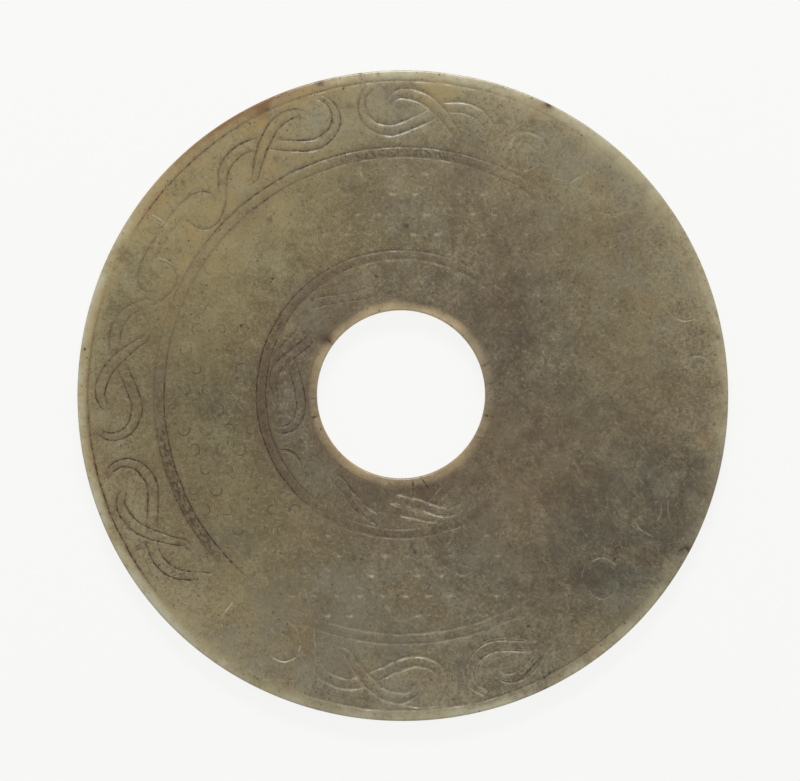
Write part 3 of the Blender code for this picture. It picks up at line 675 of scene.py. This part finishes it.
def face_relief(points, grooves, grains):
    """Depth of the carved face below its highest level at each point."""
    from_centre = gap_from(CENTRE, points)
    from_hole = gap_from(HOLE_CENTRE, points)
    unevenness = soft_noise(points, 0.0023, 4.4)
    cut = np.zeros(len(points))
    for groove in grooves:
        index, gap, (width, depth, _, _) = groove.near(points, BROAD_LINE)
        depth *= np.clip(1.0 + 0.9 * unevenness[index], 0.3, 1.5)
        np.maximum.at(cut, index, depth * groove_section(np.minimum(gap / (width / 2), 1.0)))
    left = by_angle(FIELD_LEFT, points) * in_field(points, 0.0008)
    nearest, gap, facing = nearest_grain(points, grains)
    low_side = np.clip(-np.sin(facing + 0.35), 0.0, 1.0) ** 3
    ring_depth = GRAIN_RING_DEPTH * (0.1 + 0.9 * low_side) * (0.6 + 0.4 * by_lot(nearest, 1.0))
    share = gap / GRAIN_RADIUS
    steep_side = np.clip(1.0 - (gap - GRAIN_RADIUS) / (GRAIN_RING_WIDTH / 2), 0.0, 1.0)
    ring = ring_depth * np.where(share < 1.0, share ** 2.5, steep_side)
    ground = GRAIN_HEIGHT * np.clip(share, 0.0, 1.0) ** 2.5 * (1.0 - 0.4 * smooth_step(1.0, 1.6, share))
    cut *= 1.0 - np.minimum(patches(points, WORN_SPOTS), 1.0)
    cut *= smooth_step(0.0, 0.0006, RADIUS - EDGE_ROUNDING * 1.2 - from_centre)
    cut *= smooth_step(0.0, 0.0006, from_hole - HOLE_RADIUS - EDGE_ROUNDING * 1.2)
    rim_fall = smooth_step(RIM_LINE_RADIUS, RADIUS - EDGE_ROUNDING, from_centre)
    hole_fall = smooth_step(-HOLE_LINE_RADIUS, -HOLE_RADIUS - EDGE_ROUNDING, -from_hole)
    inland = 1.0 - np.maximum(rim_fall, hole_fall)
    waves = soft_noise(points, 0.021, 3.1) * 0.00006 + soft_noise(points, 0.006, 7.7) * 0.00002
    waves = (waves + 0.00008) * inland
    return np.maximum(cut, (ground + ring) * left) + BORDER_FALL * (rim_fall + hole_fall) + waves


def face_triangles(grooves, grains):
    """Points and triangles of the carved face, which follow the lines and the grains."""
    points = []
    edges = []

    def follow(line, closed):
        first = len(points)
        points.extend(line)
        last = len(points) - 1
        edges.extend((index, index + 1) for index in range(first, last))
        if closed:
            edges.append((last, first))

    follow(circle(CENTRE, RADIUS - EDGE_ROUNDING - SKIN, RIM_POINTS, OUT_OF_ROUND), True)
    follow(circle(HOLE_CENTRE, HOLE_RADIUS + EDGE_ROUNDING, HOLE_POINTS), True)
    for groove in grooves:
        for line in groove.lines():
            kept = gap_from(CENTRE, line) < RADIUS - 2 * EDGE_ROUNDING
            kept &= gap_from(HOLE_CENTRE, line) > HOLE_RADIUS + 1.5 * EDGE_ROUNDING
            if kept.all():
                follow(line, groove.hub is not None)
            else:
                for run in unbroken_runs(line, kept):
                    follow(run, False)
    for grain in grains:
        for share in GRAIN_RINGS:
            points.extend(circle(grain, GRAIN_RADIUS * share, GRAIN_RING_POINTS))
        points.append(grain)

    taken = np.array(points)
    steps = np.arange(-int(RADIUS / FILL_STEP), int(RADIUS / FILL_STEP) + 1)
    columns, rows = np.meshgrid(steps, steps)
    fill = np.stack((columns + 0.5 * (rows % 2), rows), axis=2).reshape(-1, 2) * FILL_STEP
    cell = FILL_STEP * 0.62
    crowded = {tuple(key) for key in np.floor(taken / cell).astype(int)}
    free = [tuple(key) not in crowded for key in np.floor(fill / cell).astype(int)]
    free &= gap_from(CENTRE, fill) < RADIUS - EDGE_ROUNDING * 2.2
    free &= gap_from(HOLE_CENTRE, fill) > HOLE_RADIUS + EDGE_ROUNDING * 1.8
    points.extend(fill[free])

    flat = [Vector(point / MILLIMETRE) for point in points]
    result = delaunay_2d_cdt(flat, edges, [], 0, MERGE_DISTANCE / MILLIMETRE, False)
    spots = np.array([tuple(vertex) for vertex in result[0]]) * MILLIMETRE
    corners = np.array([tuple(triangle) for triangle in result[2]])
    reach = (HOLE_RADIUS + EDGE_ROUNDING) * math.cos(math.pi / HOLE_POINTS)
    corners = corners[gap_from(HOLE_CENTRE, spots[corners].mean(axis=1)) > reach]
    used = np.unique(corners)
    renumber = np.zeros(len(spots), dtype=int)
    renumber[used] = np.arange(len(used))
    return spots[used], renumber[corners]


def only(piece):
    """Select one piece alone."""
    bpy.ops.object.select_all(action="DESELECT")
    piece.select_set(True)
    bpy.context.view_layer.objects.active = piece


def select_ring(piece, ring_is_wanted):
    """In edit mode, select the open edges whose ends pass the test."""
    bpy.ops.mesh.select_all(action="DESELECT")
    for edge in bmesh.from_edit_mesh(piece.data).edges:
        if edge.is_boundary and all(ring_is_wanted(end.co) for end in edge.verts):
            edge.select_set(True)
    bmesh.update_edit_mesh(piece.data)


def draw_ring(centre, profile):
    """Extrude the selected ring through a profile of (radius, height) steps about a centre."""
    radius, height = profile[0]
    hub = (float(centre[0]), float(centre[1]), 0.0)
    for next_radius, next_height in profile[1:]:
        bpy.ops.mesh.extrude_edges_move(
            TRANSFORM_OT_translate={"value": (0.0, 0.0, next_height - height)})
        scale = next_radius / radius
        bpy.ops.transform.resize(value=(scale, scale, 1.0), center_override=hub)
        radius, height = next_radius, next_height


def edge_section(radius, way, top, base):
    """Steps down a rounded edge, from its top face to its back; way is 1 for the rim, -1 for a bore."""
    leans = np.radians((0.0, 22.0, 45.0, 67.0, 90.0))
    radii = radius - way * EDGE_ROUNDING * (1.0 - np.sin(leans))
    falls = EDGE_ROUNDING * (1.0 - np.cos(leans))
    return [*zip(radii, top - falls), (radius, (top + base) / 2), *zip(radii[::-1], base + falls[::-1])]


def back_line_section(radius, way):
    """Steps across one incised line of the back, in the direction away from the edge."""
    return [(radius + way * BACK_LINE_WIDTH / 2 * across, BACK_LINE_DEPTH * depth)
            for across, depth in ((1.0, 0.0), (0.4, 0.75), (0.0, 1.0), (-0.4, 0.75), (-1.0, 0.0))]


def carved_disc():
    """The disc: the carved face as a fine mesh, then the rim, the bore and the back drawn from it."""
    grooves = ring_grooves() + outer_band_grooves() + inner_band_grooves()
    grooves += crack_grooves() + worn_traces()
    grains = grain_centres()
    spots, corners = face_triangles(grooves, grains)
    heights = THICKNESS - face_relief(spots, grooves, grains)
    mesh = bpy.data.meshes.new("carved_disc")
    mesh.from_pydata(np.column_stack((spots, heights)).tolist(), [], corners.tolist())
    mesh.update()
    disc = bpy.data.objects.new("carved_disc", mesh)
    bpy.context.scene.collection.objects.link(disc)
    only(disc)
    bpy.ops.object.mode_set(mode="EDIT")
    bpy.ops.mesh.select_mode(type="EDGE")

    top = THICKNESS - BORDER_FALL
    middle = (FIELD_OUTER_RADIUS + FIELD_INNER_RADIUS) / 2
    select_ring(disc, lambda spot: math.hypot(spot[0], spot[1]) > middle)
    draw_ring(CENTRE, edge_section(RADIUS - SKIN, 1.0, top, 0.0)
              + back_line_section(RIM_LINE_RADIUS, 1.0)
              + back_line_section(OUTER_STRIP_RADIUS, 1.0) + [(middle, 0.0)])
    select_ring(disc, lambda spot: math.hypot(spot[0], spot[1]) < HOLE_RADIUS + 0.002
                and spot[2] > THICKNESS / 2)
    draw_ring(HOLE_CENTRE, edge_section(HOLE_RADIUS, -1.0, top, 0.0)
              + back_line_section(HOLE_LINE_RADIUS, -1.0)
              + back_line_section(INNER_STRIP_RADIUS, -1.0))
    select_ring(disc, lambda spot: spot[2] < THICKNESS / 2)
    bpy.ops.mesh.bridge_edge_loops()
    bpy.ops.mesh.select_all(action="SELECT")
    bpy.ops.mesh.remove_doubles(threshold=WELD_DISTANCE)
    bpy.ops.mesh.normals_make_consistent(inside=False)
    bpy.ops.mesh.select_all(action="DESELECT")
    bpy.ops.object.mode_set(mode="OBJECT")
    bpy.ops.object.shade_smooth_by_angle(angle=math.radians(SMOOTH_ANGLE))
    paint_masks(disc, grooves, grains)
    return disc


def paint_masks(disc, grooves, grains):
    """Write the masks that the stone's material reads, one value at each vertex."""
    mesh = disc.data
    spots = np.zeros(len(mesh.vertices) * 3)
    mesh.vertices.foreach_get("co", spots)
    spots = spots.reshape(-1, 3)
    flat = spots[:, :2].copy()
    on_face = smooth_step(THICKNESS * 0.70, THICKNESS * 0.82, spots[:, 2])
    from_centre = gap_from(CENTRE, flat)
    from_hole = gap_from(HOLE_CENTRE, flat)

    line_gap = np.full(len(flat), MASK_REACH)
    line_dirt = np.zeros(len(flat))
    # The painted highlight along each worn line
    line_highlight = np.zeros(len(flat))
    for groove in grooves:
        index, gap, (_, _, dirt, light) = groove.near(flat, MASK_REACH)
        nearer = gap < line_gap[index]
        line_gap[index[nearer]] = gap[nearer]
        line_dirt[index[nearer]] = dirt[nearer]
        line_highlight[index[nearer]] = light[nearer]

    nearest, grain_gap, facing = nearest_grain(flat, grains)
    # Painted glint on each grain's lower side, where the main lamp's light would catch it
    glint = np.clip(-np.sin(facing + 0.5 * (by_lot(nearest, 5.0) - 0.5)), 0.0, 1.0) ** 9
    glint *= np.exp(-((grain_gap - GRAIN_RADIUS * 1.08) / 0.00042) ** 2)
    glint *= smooth_step(0.05, 0.7, by_lot(nearest, 6.0)) * by_angle(GRAIN_GLINT, flat)
    grain_gap = grain_gap / (0.78 + 0.30 * by_lot(nearest, 7.0))
    arc = np.clip(1.4 * np.cos(facing - by_lot(nearest, 2.0) * 2.0 * math.pi) + 0.7, 0.0, 1.0)
    arc *= smooth_step(0.0, 0.6, by_lot(nearest, 3.0)) * by_angle(GRAIN_ARC_DIRT, flat)
    grain_pale = smooth_step(0.2, 0.9, by_lot(nearest, 4.0)) * by_angle(GRAIN_PALENESS, flat)
    field = in_field(flat, 0.002)

    outer_middle = (OUTER_STRIP_RADIUS + FIELD_OUTER_RADIUS) / 2
    inner_middle = (INNER_STRIP_RADIUS + FIELD_INNER_RADIUS) / 2
    outer_strip = np.exp(-((from_centre - outer_middle) / 0.0015) ** 4)
    inner_strip = np.exp(-((from_hole - inner_middle) / 0.0014) ** 4)
    bore_stain = np.exp(-np.clip(from_hole - HOLE_LINE_RADIUS, 0.0, None) / 0.0022)
    bore_stain *= smooth_step(HOLE_LINE_RADIUS - 0.0013, HOLE_LINE_RADIUS + 0.0003, from_hole)

    band_share = by_angle(RIM_BAND, flat)
    ragged = soft_noise(flat, 0.011, 8.8) * 0.0010 + soft_noise(flat, 0.004, 1.7) * 0.0005
    rim_softness = 1.0 - by_angle(RIM_SHARPNESS, flat)
    rim_start = RIM_LINE_RADIUS - 0.0005 - (0.0042 + 2.0 * ragged) * rim_softness
    rim = smooth_step(0.0, 1.0, (from_centre - rim_start) / (RADIUS - rim_start))
    rust = smooth_step(RIM_LINE_RADIUS - 0.0004, RIM_LINE_RADIUS + 0.0012, from_centre + ragged * 0.8)
    rust *= 0.65 + 0.8 * smooth_step(RADIUS - 0.0010, RADIUS - 0.0003, from_centre)
    down_the_edge = smooth_step(THICKNESS * 0.35, THICKNESS * 0.85, spots[:, 2] + ragged)
    bore = smooth_step(-HOLE_LINE_RADIUS - 0.0010, -HOLE_RADIUS - 0.0002, ragged * 0.8 - from_hole)

    masks = {
        "line_dirt": line_dirt,
        "line_highlight": line_highlight,
        "grain_dirt": arc * field,
        "grain_glint": glint * field,
        "grain_pale": grain_pale * field,
        "outer_strip": outer_strip * by_angle(OUTER_STRIP_STAIN, flat),
        "inner_strip": inner_strip * by_angle(INNER_STRIP_STAIN, flat),
        "bore_stain": bore_stain * by_angle(BORE_STAIN, flat),
    }
    masks = {name: values * on_face for name, values in masks.items()}
    masks |= {name: patches(flat, table) for name, table in PATCHES.items()}
    masks["honey"] *= on_face
    masks["soot"] *= down_the_edge
    masks["rust"] *= on_face
    masks["rust"] += by_angle(RUST_ON_RIM, flat) * rust * (0.3 + 0.7 * down_the_edge)
    masks |= {
        "line_gap": line_gap / MILLIMETRE,
        "grain_gap": grain_gap / MILLIMETRE,
        "rim": rim * np.minimum(band_share + 0.3, 1.0),
        "rim_edge": smooth_step(RADIUS - 0.0030, RADIUS - 0.0002, from_centre + ragged) * band_share,
        "bore": bore * by_angle(BORE_PALENESS, flat),
        "bore_warm": by_angle(BORE_WARMTH, flat) * smooth_step(-0.034, -0.026, -from_hole),
        "inner_dusk": smooth_step(-0.060, -0.036, -from_hole) * by_angle(INNER_DUSK, flat),
        "glow": smooth_step(0.066, 0.084, from_centre) * by_angle(RIM_GLOW, flat),
        "warm": by_angle(WARMTH, flat) * smooth_step(0.030, 0.040, from_hole),
    }
    for name, values in masks.items():
        mask = mesh.attributes.new(name, "FLOAT", "POINT")
        mask.data.foreach_set("value", values.astype(np.float32))


class Tone:
    """A socket of a material that takes part in sums."""

    def __init__(self, paint, socket):
        self.paint = paint
        self.socket = socket

    def __add__(self, other):
        return self.paint.sum("ADD", self, other)

    __radd__ = __add__

    def __sub__(self, other):
        return self.paint.sum("SUBTRACT", self, other)

    def __rsub__(self, other):
        return self.paint.sum("SUBTRACT", other, self)

    def __mul__(self, other):
        return self.paint.sum("MULTIPLY", self, other)

    __rmul__ = __mul__

    def __pow__(self, other):
        return self.paint.sum("POWER", self, other)

    def __abs__(self):
        return self.paint.sum("ABSOLUTE", self, 0.0)


class Paint:
    """The nodes of one material, and the colour that they have built up."""

    def __init__(self, name):
        self.material = bpy.data.materials.new(name)
        self.material.use_nodes = True
        self.tree = self.material.node_tree
        self.shader = self.tree.nodes["Principled BSDF"]
        self.colour = None

    def node(self, kind, settings, sockets, output=0):
        """Add a node with its settings, then its socket values or links, and give one output."""
        made = self.tree.nodes.new(kind)
        for name, value in settings.items():
            setattr(made, name, value)
        self.fill(made, sockets)
        return Tone(self, made.outputs[output])

    def fill(self, made, sockets):
        """Give a node's sockets their values or links."""
        for name, value in sockets.items():
            target = made.inputs[name]
            if isinstance(value, Tone):
                self.tree.links.new(value.socket, target)
            elif isinstance(value, tuple) and len(target.default_value) == 4:
                target.default_value = (*value, 1.0)
            else:
                target.default_value = value

    def sum(self, operation, first, second):
        """One step of arithmetic on numbers."""
        return self.node("ShaderNodeMath", {"operation": operation}, {0: first, 1: second})

    def clamp(self, value):
        return self.node("ShaderNodeClamp", {}, {"Value": value, "Min": 0.0, "Max": 1.0})

    def step(self, value, low, high):
        """A soft step from 0 at low to 1 at high."""
        return self.node("ShaderNodeMapRange", {"interpolation_type": "SMOOTHSTEP"},
                         {"Value": value, "From Min": low, "From Max": high}, "Result")

    def mix(self, share, first, second):
        """Blend two colours by a share, which is kept between 0 and 1."""
        return self.node("ShaderNodeMix", {"data_type": "RGBA", "clamp_factor": True},
                         {0: share, 6: first, 7: second}, 2)

    def lay(self, tint, share):
        """Lay a tint over the colour."""
        self.colour = self.mix(share, self.colour, tint)

    def mask(self, name):
        """A mask that the mesh carries."""
        return self.node("ShaderNodeAttribute", {"attribute_name": name}, {}, "Fac")

    def place(self, turn=0.0, stretch=(1.0, 1.0, 1.0)):
        """Object coordinates in millimetres, stretched and turned."""
        where = self.node("ShaderNodeTexCoord", {}, {}, "Object")
        return self.node("ShaderNodeMapping", {"vector_type": "TEXTURE"}, {
            "Vector": where, "Scale": tuple(MILLIMETRE / part for part in stretch),
            "Rotation": (0.0, 0.0, math.radians(turn))})

    def clouds(self, scale, detail, roughness, turn=0.0, stretch=(1.0, 1.0, 1.0), place=None):
        """Noise about 0.5."""
        return self.node("ShaderNodeTexNoise", {}, {
            "Vector": place or self.place(turn, stretch), "Scale": scale, "Detail": detail,
            "Roughness": roughness}, "Fac")

    def spots(self, scale, turn, size, lots):
        """Round spots with soft edges, one in each cell that the lot picks."""
        gap = self.node("ShaderNodeTexVoronoi", {}, {"Vector": self.place(turn), "Scale": scale}, "Distance")
        own = Tone(self, gap.socket.node.outputs["Color"])
        lot = self.node("ShaderNodeSeparateColor", {}, {"Color": own}, "Red")
        return self.step(gap, *size) * self.step(lot, *lots)

    def round_the_disc(self):
        """Millimetres round the disc, measured in the strips, and millimetres from its centre."""
        right = self.node("ShaderNodeSeparateXYZ", {}, {"Vector": self.place()}, "X")
        up = Tone(self, right.socket.node.outputs["Y"])
        return self.sum("ARCTAN2", up * -1.0, right * -1.0) * STROKE_RADIUS, (right * right + up * up) ** 0.5


def linear(red, green, blue):
    """Linear colour from 0 to 255 screen values."""
    parts = [part / 255.0 for part in (red, green, blue)]
    return tuple(p / 12.92 if p <= 0.04045 else ((p + 0.055) / 1.055) ** 2.4 for p in parts)


JADE_DARK = linear(77, 64, 46)
JADE_BODY = linear(112, 100, 75)
JADE_PALE = linear(152, 138, 97)
JADE_LIGHT = linear(150, 140, 114)
JADE_GREY = linear(120, 115, 99)
JADE_BROWN = linear(116, 94, 62)
JADE_YELLOW = linear(116, 103, 62)
SLATE = linear(84, 81, 70)
MIST_GREEN = linear(148, 147, 124)
DEEP_GREEN = linear(64, 66, 54)
MAUVE_FILL = linear(92, 74, 57)
HONEY_RIM = linear(170, 152, 106)
ASH_RIM = linear(170, 160, 128)
PALE_EDGE = linear(182, 176, 148)
CREAM_BORE = linear(190, 170, 131)
TAN_BORE = linear(166, 142, 104)
BORE_BROWN = linear(84, 66, 44)
LINE_BROWN = linear(62, 40, 18)
LINE_HONEY = linear(116, 90, 56)
STROKE_BROWN = linear(54, 39, 28)
HONEY_STAIN = linear(158, 130, 80)
RUST = linear(124, 89, 47)
SPECK = linear(44, 40, 32)
# Pale clouds, streaks and specks of the stone, and also the painted highlight along worn lines
CLOUD_AND_HIGHLIGHT_WHITE = linear(176, 168, 140)
# Painted glints on the grains
GLINT_WHITE = linear(196, 188, 160)


def worn_jade():
    """Olive jade: clouded and mottled, dirt in its lines, honey-coloured at its edges, with painted
    highlights along worn lines and on the grains.
    """
    paint = Paint("worn_jade")
    mask, clamp, step, lay, clouds = paint.mask, paint.clamp, paint.step, paint.lay, paint.clouds
    cloud = clouds(0.085, 7.0, 0.86)
    blotch = clouds(0.11, 4.0, 0.6, 70.0)
    grain = clouds(1.0, 3.0, 0.95)
    hue = clouds(0.07, 5.0, 0.7, 25.0)
    warm = mask("warm")
    dark = mask("dark")

    # The clouded body
    pale = clamp(mask("pale") * 0.6 + blotch * 0.6 - 0.3)
    fine = (grain - 0.5) * (3.7 - warm * 0.8)
    light = (cloud - 0.5) * (3.1 - warm * 0.9 + dark * 1.7) + fine + 0.03
    paint.colour = paint.mix(pale, paint.mix(warm * 0.7, JADE_BODY, JADE_YELLOW), JADE_PALE)
    lay(paint.mix(pale + warm * 0.4, JADE_LIGHT, JADE_PALE), light + mask("glow") * 0.33)
    lay(JADE_DARK, dark * 0.45 + mask("inner_dusk") * 0.4 - light + fine * 0.35)
    lay(DEEP_GREEN, clamp(dark * (blotch * 3.0 + cloud * 2.0 - 2.0)) * 0.62)
    lay(JADE_GREY, clamp(mask("grey") * 0.7 + hue * 4.5 - warm * 0.4 - 2.25) * 0.55)
    lay(JADE_BROWN, clamp(2.82 - hue * 6.0) * 0.34)
    lay(SLATE, step(clouds(0.3, 5.0, 0.75, 110.0), 0.42, 0.30) * (0.34 - warm * 0.12))

    # Wisps, stains and fine streaks
    wisps = step(clouds(0.8, 5.0, 0.7, 35.0, (1.0, 0.45, 1.0)), 0.55, 0.72)
    lay(CLOUD_AND_HIGHLIGHT_WHITE, wisps * (0.36 - warm * 0.14))
    lay(JADE_BROWN, clamp(mask("umber") * (hue * 3.0 - 0.9)) * 0.42)
    lay(MIST_GREEN, clamp(mask("mist") * (cloud * 5.0 - 1.85)) * 0.42)
    lay(MAUVE_FILL, clamp(mask("mauve") * (cloud * 2.5 - 0.45)) * 0.6)
    stain = paint.spots(0.22, 80.0, (0.32, 0.05), (0.50, 0.70)) * step(hue, 0.44, 0.54)
    lay(DEEP_GREEN, stain * (0.46 - warm * 0.14))
    tufts = step(clouds(0.75, 4.0, 0.7, -20.0, (1.0, 0.55, 1.0)), 0.57, 0.69)
    lay(DEEP_GREEN, tufts * (0.54 - warm * 0.16))
    for turn, share in ((38.0, 0.20), (-52.0, 0.17), (80.0, 0.16)):
        lay(CLOUD_AND_HIGHLIGHT_WHITE, step(clouds(2.0, 2.0, 0.5, turn, (1.0, 0.07, 1.0)), 0.64, 0.76) * share)
    tops = step(mask("grain_gap"), 1.3, 0.5) * mask("grain_pale")
    lay(CLOUD_AND_HIGHLIGHT_WHITE, clamp(tops * (grain * 2.5 - 0.55)) * 0.42)

    # The strips, with the maker's slanting strokes
    turn, reach = paint.round_the_disc()
    slant = paint.node("ShaderNodeCombineXYZ", {}, {"X": (turn - reach) * 0.9, "Y": (turn + reach) * 0.12})
    hatch = step(clouds(1.5, 3.0, 0.7, place=slant), 0.46, 0.62)
    flecks = step(clouds(1.2, 3.0, 0.75, 30.0, (1.0, 0.6, 1.0)), 0.49, 0.55)
    uneven = clamp(blotch * 3.0 + cloud * 1.5 - 1.65)
    outer = mask("outer_strip") * uneven
    inner = mask("inner_strip") * uneven
    lay(MAUVE_FILL, outer * (hatch * 0.22 + 0.08) + inner * (hatch * 0.4 + 0.34))
    darkest = clamp(mask("outer_strip") * 1.5 - 0.7)
    strokes = outer * hatch * 0.15 + darkest * flecks * 1.25 + inner * (hatch * 0.5 + flecks * 0.5)
    lay(STROKE_BROWN, clamp(strokes) * 0.8)

    # The borders of the hole and of the rim
    lay(BORE_BROWN, mask("bore_stain") * (cloud * 0.8 + 0.2))
    clear = 1.0 - clamp(dark) * 0.6
    lay(paint.mix(warm, ASH_RIM, HONEY_RIM), mask("rim") * clamp(cloud * 3.0 - 0.8) * clear)
    lay(HONEY_STAIN, mask("honey") * clamp(cloud * 3.0 - 0.85))
    lay(PALE_EDGE, mask("rim_edge") * clamp(blotch * 4.0 + grain * 1.5 - 2.15) * clear)
    lay(paint.mix(mask("bore_warm"), CREAM_BORE, TAN_BORE), mask("bore") * clamp(cloud * 2.0 - 0.2))
    lay(RUST, mask("rust") * (cloud * 2.0 - 0.25))
    lay(LINE_BROWN, mask("soot") * (cloud + 0.5))

    # Specks
    speck = paint.spots(0.36, 0.0, (0.13, 0.06), (0.40, 0.50))
    speck = speck + paint.spots(0.75, 25.0, (0.22, 0.10), (0.54, 0.66)) * 0.75
    speck = speck + paint.spots(0.13, 55.0, (0.075, 0.04), (0.45, 0.60))
    lay(SPECK, clamp(speck) * 0.75)
    lay(CLOUD_AND_HIGHLIGHT_WHITE, paint.spots(0.5, 65.0, (0.11, 0.05), (0.70, 0.80)) * 0.45)

    # Painted highlights and dirt in the lines and round the grains
    breaks = clouds(0.28, 5.0, 0.85)
    dots = step(clouds(0.8, 2.0, 0.5, 15.0), 0.50, 0.62)
    gap = mask("line_gap") + grain * 0.5 - 0.25
    line_dirt = mask("line_dirt")
    line_highlight = mask("line_highlight")
    # Painted highlight on the shoulder of each worn line
    lit = step(abs(gap - line_dirt * 0.6 - 0.06), line_highlight * 0.2 + 0.15, 0.03)
    lay(CLOUD_AND_HIGHLIGHT_WHITE, lit * step(breaks, 0.42, 0.54) * line_highlight * 0.8)
    core = step(gap, breaks * 0.26 + dots * 0.14 + 0.16, 0.02)
    core = core * (dots * 0.4 + step(breaks, 0.42, 0.58) * 0.35 + 0.45)
    shore = step(gap, 1.1, 0.2) * clamp(line_dirt * 0.6 + 0.15)
    lay(LINE_HONEY, shore * warm * clamp(blotch * 4.0 - 1.5) * 0.7)
    ring = step(abs(mask("grain_gap") - GRAIN_RADIUS / MILLIMETRE), 0.25, 0.05)
    ring = ring * mask("grain_dirt") * step(breaks, 0.32, 0.52)
    dirt = clamp(clamp(line_dirt * (core + step(gap, 0.9, 0.1) * 0.16)) + ring * 0.85)
    lay(LINE_BROWN, dirt)
    # Painted glints on the lower side of the grains
    lay(GLINT_WHITE, clamp(mask("grain_glint") * clamp(grain * 2.0 + dots * 0.5 - 0.5)) * 0.75)

    # The gloss, with fine scratches
    scratch = clouds(2.6, 2.0, 0.5, 20.0, (1.0, 0.04, 1.0))
    cross = clouds(2.6, 2.0, 0.5, -30.0, (0.05, 1.0, 1.0))
    height = grain * 0.9 + scratch * 0.5 + cross * 0.4 - clamp(speck) * 0.8
    paint.fill(paint.shader, {
        "Base Color": paint.colour,
        "Roughness": clamp(blotch * 0.25 + dirt * 0.55 + step(scratch, 0.62, 0.75) * 0.12 + 0.195),
        "Normal": paint.node("ShaderNodeBump", {}, {
            "Strength": 0.25, "Distance": 0.0001, "Height": height}, "Normal"),
        "IOR": 1.6,
        "Subsurface Weight": 0.10,
        "Subsurface Radius": (1.0, 0.85, 0.5),
        "Subsurface Scale": 0.0008,
    })
    return paint.material


def pale_floor():
    """A pale board under the disc."""
    board = Paint("pale_board")
    board.fill(board.shader, {
        "Base Color": (0.07, 0.07, 0.07), "Roughness": 0.9, "Specular IOR Level": 0.1,
        "Emission Color": (1.0, 1.0, 0.985), "Emission Strength": 0.87})
    bpy.ops.object.select_all(action="DESELECT")
    bpy.ops.mesh.primitive_plane_add(size=FLOOR_SIZE, location=(0.0, 0.0, -FLOOR_GAP))
    floor = bpy.context.object
    floor.name = "pale_board"
    floor.data.materials.append(board.material)


def lamp(name, place, size, power):
    """A soft square lamp that faces the disc."""
    data = bpy.data.lights.new(name, "AREA")
    data.shape = "RECTANGLE"
    data.size = size[0]
    data.size_y = size[1]
    data.energy = power
    made = bpy.data.objects.new(name, data)
    made.location = place
    made.rotation_euler = (-Vector(place)).to_track_quat("-Z", "Y").to_euler()
    bpy.context.scene.collection.objects.link(made)


def camera_overhead():
    """The camera straight above, with the top of the photograph towards +Y."""
    data = bpy.data.cameras.new("overhead")
    made = bpy.data.objects.new("overhead", data)
    made.location = (*seen(PHOTO_WIDTH / 2, PHOTO_HEIGHT / 2), THICKNESS + CAMERA_HEIGHT)
    data.sensor_fit = "HORIZONTAL"
    data.sensor_width = SENSOR_WIDTH
    data.lens = SENSOR_WIDTH * CAMERA_HEIGHT / (PHOTO_WIDTH * METRES_PER_PIXEL)
    data.clip_end = 20.0
    bpy.context.scene.collection.objects.link(made)
    bpy.context.scene.camera = made


def studio():
    """A soft white room, with the main lamp beyond the top of the photograph."""
    world = bpy.data.worlds.new("white_room")
    world.use_nodes = True
    background = world.node_tree.nodes["Background"]
    background.inputs["Color"].default_value = (1.0, 1.0, 1.0, 1.0)
    background.inputs["Strength"].default_value = 0.42
    bpy.context.scene.world = world
    lamp("main_lamp", (0.0, 0.90, 0.71), (0.62, 0.30), 10.5)
    lamp("left_lamp", (-1.0, -0.1, 0.9), (0.6, 0.9), 1.0)
    lamp("right_lamp", (1.0, -0.1, 0.9), (0.6, 0.9), 0.6)
    bpy.context.scene.view_settings.view_transform = "Standard"


disc = carved_disc()
disc.data.materials.append(worn_jade())
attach(disc, "root")
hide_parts("jade_disc")
camera_overhead()
studio()
pale_floor()
